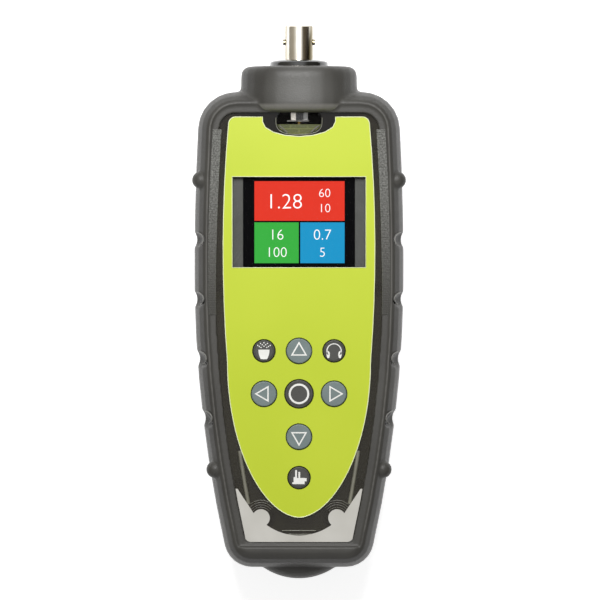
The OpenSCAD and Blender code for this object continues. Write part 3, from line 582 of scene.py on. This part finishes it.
# Painted highlights in three strengths, for ridges of the smoked plastic.
relief_highlight = moulded(
    "relief_highlight", dark=(0.2, 0.2, 0.16), light=(0.26, 0.26, 0.21), smooth=0.12, rough=0.22,
    fine=3000, broad=120, depth=0.00001,
)
relief_band_highlight = moulded(
    "relief_band_highlight", dark=(0.15, 0.145, 0.112), light=(0.2, 0.193, 0.15), smooth=0.4, rough=0.5,
    fine=3000, broad=160, depth=0.00001,
)
relief_dim_highlight = moulded(
    "relief_dim_highlight", dark=(0.085, 0.08, 0.062), light=(0.13, 0.125, 0.1), smooth=0.2, rough=0.34,
    fine=3000, broad=160, depth=0.00001,
)


def ridge(name, points, radius, material):
    """A raised line, on the front plate unless its points have heights: a tube along them."""
    curve = bpy.data.curves.new(name, "CURVE")
    curve.dimensions = "3D"
    spline = curve.splines.new("POLY")
    spline.points.add(len(points) - 1)
    for point, place in zip(spline.points, points):
        x, y, z = (*place, plate_top)[:3]
        point.co = (x, y, z, 1)
    curve.bevel_depth = radius
    curve.bevel_resolution = 2
    curve.use_fill_caps = True
    line = bpy.data.objects.new(name, curve)
    scene.collection.objects.link(line)
    only(line)
    bpy.ops.object.convert(target="MESH")
    bpy.ops.object.shade_smooth()
    dressed(line, material)
    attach(line, "housing")


view_line = [(-view_half, view_y + view_arm)]
for i in range(view_steps + 1):
    turn = math.pi * (1 + i / view_steps)
    across, along = math.cos(turn), math.sin(turn)
    view_line.append(
        (
            math.copysign(view_half * abs(across) ** view_square, across),
            view_y - view_end * abs(along) ** view_square,
        )
    )
view_line.append((view_half, view_y + view_arm))
ridge("relief_view", view_line, line_r, relief_highlight)
for i in range(2):
    y = rib_y - i * rib_gap
    ridge(f"relief_rib_{i}", [(-rib_half, y), (rib_half, y)], ring_r, relief_highlight)
for side, label in ((-1, "left"), (1, "right")):
    heights = [bead_low + (bead_high - bead_low) * i / bead_steps for i in range(bead_steps + 1)]
    bead = [(side * (side_x(y) - bead_inset), y) for y in heights]
    ridge("relief_bead_" + label, bead, bead_r, relief_band_highlight)
    slope = [(side * slope_top_x, slope_top_y), (side * slope_low_x, slope_low_y)]
    ridge("relief_slope_" + label, slope, slope_r, relief_dim_highlight)
    for i, reach in enumerate(ring_reaches):
        ring = arc_points(side * screw_x, screw_y, reach, reach, ring_start, ring_end, ring_points)
        ridge(f"relief_ring_{label}_{i}", ring, ring_r, relief_dim_highlight)

# Scoop rims: each scooped grip has a thin raised crescent round its inner end. The rim lies on the
# jacket's rounded edge and is painted paler than the jacket, a painted highlight along it.
scoop_top, scoop_pitch, scoop_count = 0.02135, 0.0204, 4
rim_w, rim_l = 0.0029, 0.0025
rim_r = 0.00022
rim_step = 0.0006
rim_in = 0.0002
rim_start, rim_end, rim_points = -50, 75, 18
ray_height = 0.1
# Painted highlight: the crescents are painted paler than the jacket's rubber.
rim_highlight_rubber = moulded(
    "rim_highlight_rubber", dark=(0.15, 0.147, 0.135), light=(0.21, 0.205, 0.19), smooth=0.4, rough=0.55,
    fine=1900, broad=120, depth=0.00004,
)
for side, label in ((-1, "left"), (1, "right")):
    for i in range(scoop_count):
        y = scoop_top - i * scoop_pitch
        x = side_x(y) - rim_in
        crescent = []
        for (near_x, near_y), (far_x, far_y) in zip(
            arc_points(-x, y, rim_w, rim_l, rim_start, rim_end, rim_points),
            arc_points(-x, y, rim_w + rim_step, rim_l + rim_step, rim_start, rim_end, rim_points),
        ):
            skin_place = boot.ray_cast((-side * far_x, far_y, ray_height), (0, 0, -1))[1]
            crescent.append((-side * near_x, near_y, skin_place.z))
        ridge(f"scoop_rim_{label}_{i}", crescent, rim_r, rim_highlight_rubber)

# Seals: two thin frames of soft black rubber, one in the joint of the shells and one round the door.
# They are cut from flat sheet and lie in their grooves.
seal_rubber = moulded(
    "seal_rubber", dark=(0.01, 0.01, 0.01), light=(0.018, 0.018, 0.017), smooth=0.55, rough=0.75,
    fine=3000, broad=200, depth=0.00003,
)
dress(seal_rubber, "case_seal", "door_seal")

# Fasteners: turned steel screws with slotted heads, and brass inserts moulded into the shells. Fine
# tool marks make their gloss a little uneven.
screw_steel = moulded(
    "screw_steel", dark=(0.42, 0.42, 0.41), light=(0.56, 0.56, 0.54), smooth=0.25, rough=0.42,
    fine=5200, broad=300, depth=0.00001, Metallic=1.0,
)
insert_brass = moulded(
    "insert_brass", dark=(0.55, 0.36, 0.12), light=(0.7, 0.48, 0.18), smooth=0.25, rough=0.4,
    fine=5200, broad=300, depth=0.00001, Metallic=1.0,
)
dress(screw_steel, "case_screws", "door_screw_upper", "door_screw_lower")
dress(insert_brass, "thread_inserts")

# Circuit board: glass fibre under an olive lacquer, with copper tracks that show as paler lines. It
# carries the key switches and the chips, and its edges show through the smoked front.
track_depth = 0.00003
board_lacquer = finish("board_lacquer", (0.115, 0.135, 0.012), 0.35)
board_nodes = board_lacquer.node_tree.nodes
board_links = board_lacquer.node_tree.links
board_place = board_nodes.new("ShaderNodeTexCoord")
board_tracks = board_nodes.new("ShaderNodeTexBrick")
for name, value in (
    ("Scale", 320), ("Mortar Size", 0.06), ("Brick Width", 1.9), ("Row Height", 0.5),
    ("Color1", (0.12, 0.14, 0.012)), ("Color2", (0.1, 0.12, 0.01)), ("Mortar", (0.2, 0.22, 0.04)),
):
    fed(board_lacquer.node_tree, value, board_tracks.inputs[name])
board_links.new(board_place.outputs["Object"], board_tracks.inputs["Vector"])
board_links.new(board_tracks.outputs["Color"], shader_socket(board_lacquer, "Base Color"))
bumped(board_lacquer, board_tracks.outputs["Fac"], track_depth)
chip_resin = moulded(
    "chip_resin", dark=(0.01, 0.01, 0.011), light=(0.02, 0.02, 0.021), smooth=0.4, rough=0.6,
    fine=4200, broad=400, depth=0.00001,
)
switch_plastic = moulded(
    "switch_plastic", dark=(0.5, 0.5, 0.46), light=(0.6, 0.6, 0.55), smooth=0.35, rough=0.5,
    fine=3000, broad=300, depth=0.00001,
)
dress(board_lacquer, "main_board")
dress(chip_resin, "board_chips")
dress(switch_plastic, "key_switches")

# Face label: a lime film, printed from behind and glued on the smoked plate. A thin tube along the
# cut edge of the clear film, all round it and round its window, is painted pale as a painted highlight.
dark_names = ("light", "headphones", "middle", "machine")
blue_names = ("up", "left", "right", "down")
edge_thickness = 0.00016
key_reach = 0.0078
upright = 0.9


def key_top(key):
    """The middle of a key's top face."""
    low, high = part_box("key_" + key)
    return Vector(((low.x + high.x) / 2, (low.y + high.y) / 2, high.z))


label_film = moulded(
    "label_film", dark=(0.475, 0.58, 0.02), light=(0.515, 0.615, 0.028), smooth=0.34, rough=0.44,
    fine=2600, broad=22, depth=0.00001, Specular_IOR_Level=0.35,
)
# Painted highlight: the film's cut edge is painted near white.
film_edge_highlight = moulded(
    "film_edge_highlight", dark=(0.78, 0.84, 0.45), light=(0.86, 0.9, 0.6), smooth=0.2, rough=0.3, fine=2600,
    broad=60, depth=0.00001,
)
dress(label_film, "face_label")
label_edge = copied("face_label", "label_edge")
bpy.ops.object.mode_set(mode="EDIT")
bpy.ops.mesh.select_all(action="DESELECT")
bpy.ops.object.mode_set(mode="OBJECT")
for face in label_edge.data.polygons:
    face.select = face.normal.z > upright
bpy.ops.object.mode_set(mode="EDIT")
bpy.ops.mesh.select_mode(type="FACE")
bpy.ops.mesh.region_to_loop()
bpy.ops.mesh.duplicate()
bpy.ops.mesh.select_all(action="INVERT")
bpy.ops.mesh.delete(type="VERT")
bpy.ops.mesh.select_mode(type="VERT")
bpy.ops.mesh.select_all(action="DESELECT")
bpy.ops.object.mode_set(mode="OBJECT")
key_places = [key_top(key).xy for key in (*dark_names, *blue_names)]
for vertex in label_edge.data.vertices:
    vertex.select = any((vertex.co.xy - place).length < key_reach for place in key_places)
bpy.ops.object.mode_set(mode="EDIT")
bpy.ops.mesh.delete(type="VERT")
bpy.ops.object.mode_set(mode="OBJECT")
bpy.ops.object.convert(target="CURVE")
label_edge.data.bevel_depth = edge_thickness
label_edge.data.bevel_resolution = 2
bpy.ops.object.convert(target="MESH")
bpy.ops.object.shade_smooth()
dressed(label_edge, film_edge_highlight)
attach(label_edge, "housing")

# Display: a colour panel in a grey frame, behind a clear window let into the label. The lit image is
# three plain tiles with thin white numbers, and a fine grid shows between its dots.
panel_low, panel_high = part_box("display_panel")
image_w, image_l = 0.0309, 0.0281
tile_gap = 0.00055
tile_thickness = 0.00006
tile_round = 0.0001
image_x = 0.00017
image_y = (panel_low.y + panel_high.y) / 2
half_w = (image_w - tile_gap) / 2
half_x = (half_w + tile_gap) / 2
upper_l = 0.01358
lower_l = image_l - upper_l - tile_gap
upper_y = image_y + (image_l - upper_l) / 2
lower_y = image_y - (image_l - lower_l) / 2
number_rise = 0.00002
number_share, thin_share = 0.73, 0.02
large_x, large_y, large_height = -0.0052, -0.0004, 0.0054
small_x, small_y, small_height = 0.0086, 0.0026, 0.0031
pair_high, pair_low, pair_height = 0.0026, 0.0034, 0.0038
window_clear = finish(
    "window_clear", (0.006, 0.006, 0.006), 0.03, Alpha=0.08, Specular_IOR_Level=0.03
)
frame_plastic = moulded(
    "frame_plastic", dark=(0.05, 0.053, 0.046), light=(0.064, 0.067, 0.06), smooth=0.4, rough=0.55,
    fine=3200, broad=120, depth=0.00002,
)
panel_glass = finish("panel_glass", (0.002, 0.002, 0.003), 0.2, Specular_IOR_Level=0.03)
ribbon_film = moulded(
    "ribbon_film", dark=(0.3, 0.15, 0.04), light=(0.42, 0.22, 0.06), smooth=0.3, rough=0.45,
    fine=3000, broad=200, depth=0.00001,
)
dress(window_clear, "display_window")
dress(frame_plastic, "display_frame")
dress(panel_glass, "display_panel")
dress(ribbon_film, "display_ribbon")

# Lit dots: the glowing dots of a display, with the dark grid between them.
dots, dots_in, dots_out = group("lit_dots", [("Lit", "c"), ("Dim", "c"), ("Grid", "c")], [("Color", "c")])
dots_place = dots.nodes.new("ShaderNodeTexCoord")
dots_grid = dots.nodes.new("ShaderNodeTexBrick")
dots_grid.offset = 0.0
for name, value in (("Scale", 4570), ("Brick Width", 1.0), ("Row Height", 1.0), ("Mortar Size", 0.08)):
    dots_grid.inputs[name].default_value = value
for place, tone in (("Color1", "Lit"), ("Color2", "Dim"), ("Mortar", "Grid")):
    dots.links.new(dots_in.outputs[tone], dots_grid.inputs[place])
dots.links.new(dots_place.outputs["Object"], dots_grid.inputs["Vector"])
dots.links.new(dots_grid.outputs["Color"], dots_out.inputs["Color"])
dim_share, grid_share = 0.97, 0.72


def lit_pixels(name, colour):
    """A backlit colour: the dots glow, and the dark grid between them takes a little of the light."""
    material = finish(name, (0.004, 0.004, 0.004), 0.3, Emission_Strength=1.0, Specular_IOR_Level=0.1)
    dim, grid = (tuple(share * value for value in colour) for share in (dim_share, grid_share))
    node = placed_group(material, dots, Lit=colour, Dim=dim, Grid=grid)
    material.node_tree.links.new(node.outputs["Color"], shader_socket(material, "Emission Color"))
    return material


def block(name, place, size):
    """A square block about a place, with its size and place in its mesh."""
    bpy.ops.object.select_all(action="DESELECT")
    bpy.ops.mesh.primitive_cube_add(size=1, location=place)
    piece = bpy.context.object
    piece.name = name
    piece.scale = size
    bpy.ops.object.transform_apply(location=True, rotation=True, scale=True)
    return piece


def tile(name, x, y, width, length, material):
    """A lit tile of the image, a thin plate with its corners taken off."""
    place = (x, y, panel_high.z + tile_thickness / 2)
    plate = block(name, place, (width, length, tile_thickness))
    apply_modifier(plate, "BEVEL", width=tile_round, segments=2, affect="EDGES")
    dressed(plate, material)
    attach(plate, "housing")


lit_red = lit_pixels("lit_red", (1.02, 0.04, 0.015))
lit_green = lit_pixels("lit_green", (0.045, 0.56, 0.062))
lit_blue = lit_pixels("lit_blue", (0.004, 0.39, 0.76))
tile("tile_red", image_x, upper_y, image_w, upper_l, lit_red)
tile("tile_green", image_x - half_x, lower_y, half_w, lower_l, lit_green)
tile("tile_blue", image_x + half_x, lower_y, half_w, lower_l, lit_blue)

white_light = finish("white_light", (0.4, 0.4, 0.4), 0.3, Emission_Strength=0.85)
fed(white_light.node_tree, white, shader_socket(white_light, "Emission Color"))


def number(name, text, x, y, height):
    """Thin lit digits that lie on a tile, centred at a place."""
    bpy.ops.object.select_all(action="DESELECT")
    bpy.ops.object.text_add(location=(0, 0, 0))
    digits = bpy.context.object
    digits.name = name
    digits.data.body = text
    digits.data.size = height / number_share
    digits.data.align_x = "CENTER"
    digits.data.align_y = "CENTER"
    digits.data.offset = -thin_share * height
    digits.data.extrude = number_rise
    digits.data.resolution_u = 6
    bpy.ops.object.convert(target="MESH")
    digits.location = (x, y, panel_high.z + tile_thickness + number_rise)
    bpy.ops.object.transform_apply(location=True, rotation=True, scale=True)
    dressed(digits, white_light)
    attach(digits, "housing")


number("number_main", "1.28", image_x + large_x, upper_y + large_y, large_height)
number("number_upper_right", "60", image_x + small_x, upper_y + small_y, small_height)
number("number_lower_right", "10", image_x + small_x, upper_y - small_y, small_height)
for tone, x, upper, lower, lower_height in (
    ("green", image_x - half_x, "16", "100", 0.0036),
    ("blue", image_x + half_x, "0.7", "5", 0.0034),
):
    number(f"number_{tone}_upper", upper, x, lower_y + pair_high, pair_height)
    number(f"number_{tone}_lower", lower, x, lower_y - pair_low, lower_height)

# Keys: eight round rubber keys that stand a little out of the label. Each has a white sign printed
# on its flat top, drawn below as a thin raised print that rides with its key.
sign_thickness = 0.00008
sign_sink = 0.00003
arrow_radius, arrow_stroke, arrow_corners = 0.00325, 0.00046, 3
ring_radius, ring_stroke, ring_corners = 0.0035, 0.00066, 64
dark_keys = moulded(
    "dark_keys", dark=(0.026, 0.026, 0.022), light=(0.036, 0.036, 0.031), smooth=0.42, rough=0.58,
    fine=2600, broad=160, depth=0.00002,
)
blue_keys = moulded(
    "blue_keys", dark=(0.12, 0.158, 0.155), light=(0.152, 0.195, 0.19), smooth=0.4, rough=0.55,
    fine=2600, broad=160, depth=0.00002,
)
sign_ink = moulded(
    "sign_ink", dark=(0.74, 0.74, 0.7), light=(0.84, 0.84, 0.8), smooth=0.45, rough=0.6, fine=3200,
    broad=300, depth=0.00001,
)
dress(dark_keys, *("key_" + key for key in dark_names))
dress(blue_keys, *("key_" + key for key in blue_names))


def printed(sign, key):
    """Finishes a flat outline as a thin print on a key's top."""
    apply_modifier(sign, "SOLIDIFY", thickness=sign_thickness, offset=1)
    dressed(sign, sign_ink)
    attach(sign, key + "_key")


def flat_ring(name, middle, radius, stroke, corners):
    """A flat ring or, with three corners, a triangle's outline, with one corner towards +Y."""
    place = (middle.x, middle.y, middle.z - sign_sink)
    bpy.ops.object.select_all(action="DESELECT")
    bpy.ops.mesh.primitive_circle_add(
        vertices=corners, radius=radius, fill_type="NGON", location=place
    )
    ring = bpy.context.object
    ring.name = name
    bpy.ops.object.transform_apply(location=True, rotation=True, scale=True)
    bpy.ops.object.mode_set(mode="EDIT")
    bpy.ops.mesh.select_all(action="SELECT")
    bpy.ops.mesh.inset(thickness=stroke)
    bpy.ops.mesh.delete(type="FACE")
    bpy.ops.object.mode_set(mode="OBJECT")
    return ring


def flat_shape(name, middle, corners, width, length, x, y, turn=0.0):
    """A flat rounded or cornered patch beside the middle of a key."""
    bpy.ops.object.select_all(action="DESELECT")
    bpy.ops.mesh.primitive_circle_add(
        vertices=corners, radius=0.5, fill_type="NGON", rotation=(0, 0, turn), location=(0, 0, 0)
    )
    shape = bpy.context.object
    shape.name = name
    bpy.ops.object.transform_apply(location=True, rotation=True, scale=True)
    shape.scale = (width, length, 1)
    shape.location = (middle.x + x, middle.y + y, middle.z - sign_sink)
    bpy.ops.object.transform_apply(location=True, rotation=True, scale=True)
    return shape


def twin(sign, name, shift):
    """A copy of a flat sign with its own mesh, moved by a shift."""
    only(sign)
    bpy.ops.object.duplicate()
    copy = bpy.context.object
    copy.name = name
    copy.location = shift
    bpy.ops.object.transform_apply(location=True, rotation=True, scale=True)
    return copy


def turned(sign, angle, middle):
    """Turns a flat sign about the middle of its key. With no window open, it turns the other way."""
    only(sign)
    bpy.ops.object.mode_set(mode="EDIT")
    bpy.ops.mesh.select_all(action="SELECT")
    bpy.ops.transform.rotate(value=-math.radians(angle), orient_axis="Z", center_override=middle)
    bpy.ops.object.mode_set(mode="OBJECT")


arrow = flat_ring("arrow", key_top("up"), arrow_radius, arrow_stroke, arrow_corners)
for key, angle in (("up", 0), ("left", 90), ("down", 180), ("right", -90)):
    sign = twin(arrow, "sign_" + key, key_top(key) - key_top("up"))
    turned(sign, angle, key_top(key))
    printed(sign, key)
bpy.data.objects.remove(arrow)
ring = flat_ring("sign_middle", key_top("middle"), ring_radius, ring_stroke, ring_corners)
printed(ring, "middle")

# Headphones' sign: a thin band over two ear pads, printed on the headphones key. The band is a ring
# cut off where the pads begin.
band_radius, band_stroke, band_corners = 0.0026, 0.00034, 48
pad_w, pad_l, pad_corners = 0.0011, 0.0025, 24
pad_x, pad_y = 0.0020, -0.0013
phones = key_top("headphones")
band = flat_ring("sign_band", phones, band_radius, band_stroke, band_corners)
bpy.ops.object.mode_set(mode="EDIT")
bpy.ops.mesh.select_all(action="SELECT")
bpy.ops.mesh.bisect(plane_co=(0, phones.y + pad_y, 0), plane_no=(0, 1, 0), clear_inner=True)
bpy.ops.object.mode_set(mode="OBJECT")
pad_left = flat_shape("sign_pad_left", phones, pad_corners, pad_w, pad_l, -pad_x, pad_y)
pad_right = twin(pad_left, "sign_pad_right", (2 * pad_x, 0, 0))
for sign in (band, pad_left, pad_right):
    printed(sign, "headphones")

# Light's sign: a lamp's head that narrows to its neck, with rays of dots over it, printed on the
# light key. The head is an ellipse whose sides are drawn out to the curve of a cup.
light = key_top("light")
head_w, head_l, head_corners = 0.0038, 0.0033, 32
head_y = -0.0012
head_power = 2.2
neck_share = 0.55
pole = 0.999
dot_size, dot_corners = 0.00044, 10
ray_rows = ((0.0012, 3), (0.0019, 4), (0.0026, 5))
ray_spread, ray_y, ray_share = 55, 0.0006, 0.85
head = flat_shape("sign_lamp", light, head_corners, head_w, head_l, 0, head_y)
for vertex in head.data.vertices:
    down = (light.y + head_y - vertex.co.y) / (head_l / 2)
    if abs(down) < pole:
        share = 1.0 - (1.0 - neck_share) * ((down + 1) / 2) ** head_power
        vertex.co.x = light.x + math.copysign(share * head_w / 2, vertex.co.x - light.x)
printed(head, "light")
dot = flat_shape("ray_dot", light, dot_corners, dot_size, dot_size, 0, 0)
for row, (reach, count) in enumerate(ray_rows):
    places = arc_points(0, ray_y, reach, reach * ray_share, 90 - ray_spread, 90 + ray_spread, count)
    for i, (x, y) in enumerate(places):
        printed(twin(dot, f"sign_ray_{row}_{i}", (x, y, 0)), "light")
bpy.data.objects.remove(dot)

# Machine's sign: a pump's body on its foot, with two upright pipes, printed on the machine key. Its
# shapes overlap, so each lies a hair higher than the one before.
machine = key_top("machine")
sign_layer = Vector((0, 0, 0.00001))
square_corners, square_turn, square_share = 4, math.pi / 4, 2**0.5
for i, (name, width, length, x, y) in enumerate(
    (
        ("sign_pump", 0.0036, 0.0016, 0.0001, -0.0009),
        ("sign_motor", 0.0016, 0.0011, 0.0018, -0.0007),
        ("sign_flange", 0.0007, 0.0022, -0.0015, -0.0009),
        ("sign_foot", 0.0042, 0.0006, -0.0002, -0.0019),
        ("sign_pipe_left", 0.0006, 0.0036, -0.0010, 0.0008),
        ("sign_pipe_right", 0.0006, 0.0030, 0.0001, 0.0005),
    )
):
    sign = flat_shape(
        name, machine + i * sign_layer, square_corners, width * square_share, length * square_share, x, y,
        square_turn,
    )
    printed(sign, "machine")

# Trim: a pale strip, moulded of plastic and snapped in the lower corners of the opening round the two
# screw bosses. It has a fine matt grain.
pale_plastic = moulded(
    "pale_plastic", dark=(0.5, 0.485, 0.44), light=(0.58, 0.565, 0.52), smooth=0.38, rough=0.5,
    fine=2600, broad=80, depth=0.00002,
)
dress(pale_plastic, "lower_trim")

# Connector: a nickel-plated bayonet socket with two lugs, on a glossy black collar. Its core is
# white fluoroplastic with a gold-plated contact, and a nut holds it from inside the neck. The small
# blocks are its tail, which is seen through the smoked front.
barrel_y = 0.084
dark_reflection_x, dark_reflection_half_w, dark_reflection_half_l = 0.0054, 0.0036, 0.016
warm_reflection_half_w, warm_reflection_half_l = 0.0048, 0.2
warm_reflection_edge, warm_reflection_fade = 0.99, 0.74
tail_y, tail_l = 0.0621, 0.0005
prong_size = (0.0026, 0.0006)
prong_y, prong_z = tail_y + 0.00155, 0.0268
block_y = tail_y + 0.0017
collar_gloss = finish("collar_gloss", (0.012, 0.012, 0.012), 0.12, Coat_Weight=1.0, Coat_Roughness=0.04)
grained(
    collar_gloss, dark=(0.009, 0.009, 0.009), light=(0.017, 0.017, 0.016), smooth=0.1, rough=0.2,
    fine=1500, broad=60,
)
nickel = moulded(
    "nickel", dark=(0.84, 0.79, 0.69), light=(0.95, 0.91, 0.83), smooth=0.14, rough=0.24, fine=3600,
    broad=160, depth=0.000006, Metallic=1.0,
)
# Painted reflection: the right side of the barrel is painted dark.
overlaid(
    nickel, patch, Patch_Color=(0.05, 0.04, 0.018), Place=Vector((dark_reflection_x, barrel_y, 0)),
    Half_Size=Vector((dark_reflection_half_w, dark_reflection_half_l, patch_depth)), Inner=0.6, Outer=1.0,
)
# Painted reflection: both sides of the barrel are painted a warm darker tint, leaving its middle bright.
overlaid(
    nickel, patch, Patch_Color=(0.3, 0.26, 0.17), Place=Vector((0, barrel_y, 0)),
    Half_Size=Vector((warm_reflection_half_w, warm_reflection_half_l, patch_depth)), Inner=warm_reflection_edge, Outer=warm_reflection_fade,
)
core_white = moulded(
    "core_white", dark=(0.72, 0.7, 0.65), light=(0.8, 0.78, 0.73), smooth=0.4, rough=0.55, fine=2600,
    broad=160, depth=0.00001,
)
contact_gold = moulded(
    "contact_gold", dark=(0.72, 0.46, 0.12), light=(0.86, 0.58, 0.2), smooth=0.18, rough=0.3,
    fine=4200, broad=200, depth=0.000005, Metallic=1.0,
)
dress(collar_gloss, "connector_collar")
dress(nickel, "connector_shell", "connector_nut", "connector_washer")
dress(core_white, "connector_insulator")
dress(contact_gold, "connector_contact")
for name, place, size, material, slot in (
    ("plate", (-0.0003, tail_y, 0.0264), (0.0076, tail_l, 0.0022), core_white, "insulator_white"),
    ("prong_left", (-0.0019, prong_y, prong_z), (0.0017, *prong_size), nickel, "connector_nickel"),
    # Painted shade: the right prong takes the darker screw steel, so it shows dimmer than the left.
    ("prong_right", (0.0023, prong_y, prong_z), (0.0015, *prong_size), screw_steel, "connector_nickel"),
    ("block", (0.0003, block_y, 0.0261), (0.0032, 0.0029, 0.0006), collar_gloss, "collar_black"),
):
    tail = block("tail_" + name, place, size)
    dressed(tail, material)
    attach(tail, "housing")

# Battery: two cells in plain dark sleeves, lying head to tail between nickel-plated contacts. They
# show only when the door is lifted.
cell_sleeve = moulded(
    "cell_sleeve", dark=(0.03, 0.05, 0.09), light=(0.04, 0.065, 0.115), smooth=0.25, rough=0.35,
    fine=1500, broad=60, depth=0.000005, Coat_Weight=0.4, Coat_Roughness=0.1,
)
contact_nickel = moulded(
    "contact_nickel", dark=(0.5, 0.5, 0.47), light=(0.62, 0.62, 0.58), smooth=0.22, rough=0.36,
    fine=3600, broad=200, depth=0.000006, Metallic=1.0,
)
dress(cell_sleeve, "battery_cell_left", "battery_cell_right")
dress(contact_nickel, "battery_contacts")
